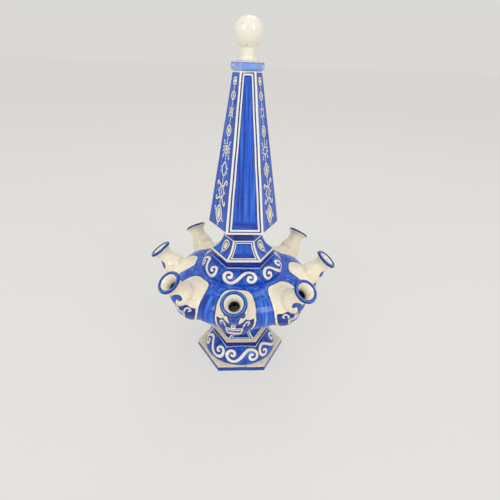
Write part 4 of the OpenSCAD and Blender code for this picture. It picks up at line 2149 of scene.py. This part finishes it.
def make_pieces() -> list[Piece]:
    """Lists the pieces from the foot up.

    Returns:
        The pieces, each with its sizes and its glaze.
    """
    painted = Glaze("painted_faience").material()
    # Painted warm shade: a warmer cream for the plinth and the dense pieces, whose cream ledge stands in
    # the bowl's shade
    warm_shade_cream = {"ground": srgb(252, 242, 212), "shade": srgb(247, 230, 192)}
    foot = Glaze("warm_shade_faience", **warm_shade_cream).material()
    strong = {"light": srgb(52, 96, 208), "cobalt": srgb(34, 66, 178)}
    dense = Glaze("dense_cobalt_faience", **strong, **warm_shade_cream).material()
    thin = Glaze("thin_cobalt_faience", pale=srgb(150, 184, 240), light=srgb(104, 150, 238)).material()
    cream = Glaze("cream_faience", roughness=0.12).material()
    # Painted light: a paler copy of the cream for the finial, which stands in the strongest light
    lit_cream = {"ground": srgb(249, 246, 236), "shade": srgb(245, 238, 222)}
    lit_cream_glaze = Glaze("lit_cream_faience", roughness=0.12, **lit_cream).material()
    small_scroll = Scroll(eye_x=12.6, eye_y=-1.2, outer=8.6, lean=(4.3, 4.2), half=1.95)
    bosses = [f"spout_boss_{i + 1}" for i in range(SPOUTS)]
    pieces: list[Piece] = [
        Plinth("dressed_plinth", ("plinth",), foot, seed=3),
        Dome("dressed_pedestal_dome", ("pedestal_dome",), painted, seed=5, scroll_up=12.2, scroll_turn=1.0,
             band_flat=32.5),
        Band("dressed_cornice", ("pedestal_cornice",), dense, slot=Slot.DEEP, seed=7, foot_flat=32.5,
             bore=9.0, ledge=True),
        Flank("dressed_stem", ("stem",), painted, seed=9, drop_up=17.0),
        Bowl("dressed_bowl", ("bowl_lower", "bowl_upper", *bosses), painted, seed=11),
        Dome("dressed_shoulder_dome", ("shoulder_dome",), painted, seed=13, wall=5.0, bore=29.1,
             scroll=small_scroll, scroll_up=9.5),
        Band("dressed_step", ("shoulder_step",), dense, slot=Slot.DEEP, seed=15),
        Flank("dressed_skirt", ("shoulder_skirt",), painted, seed=17, top=20.78, bore=16.4, drop_up=13.6,
              drop_half=7.4, head=3.4, flared_foot=False),
        Neck("dressed_neck", ("neck",), dense, slot=Slot.DEEP, seed=19),
    ]
    for i in range(SPOUTS):
        turn = math.radians(SPOUT_TURN + SPOUT_STEP * i)
        spout = f"spout_{i + 1}"
        pieces.append(Spout(f"dressed_{spout}", (spout,), cream, slot=Slot.CREAM, seed=31 + i, turn=turn))
    pieces += [
        Spire("dressed_spire", ("spire",), painted, Body.SPIRE, seed=21),
        Collar("dressed_collar", ("spire_collar",), thin, Body.SPIRE, Slot.PALE, 23),
        Finial("dressed_finial", ("finial",), lit_cream_glaze, Body.SPIRE, Slot.CREAM, 25),
    ]
    return pieces


def dress_spigot() -> None:
    """Gives the spire's bare spigot its clay."""
    spigot = frame["nodes"]["spire_spigot"]
    spigot.data.materials.clear()
    spigot.data.materials.append(BareClay().material())
    log.info("spire_spigot: bare clay")


def main() -> None:
    """Dresses the vase and sets up the studio."""
    logging.basicConfig(level=logging.INFO, format="%(name)s: %(message)s")
    cad_box = tuple(corner.copy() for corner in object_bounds())
    Studio().build()
    for piece in make_pieces():
        piece.make()
    dress_spigot()


if __name__ == "__main__":
    main()
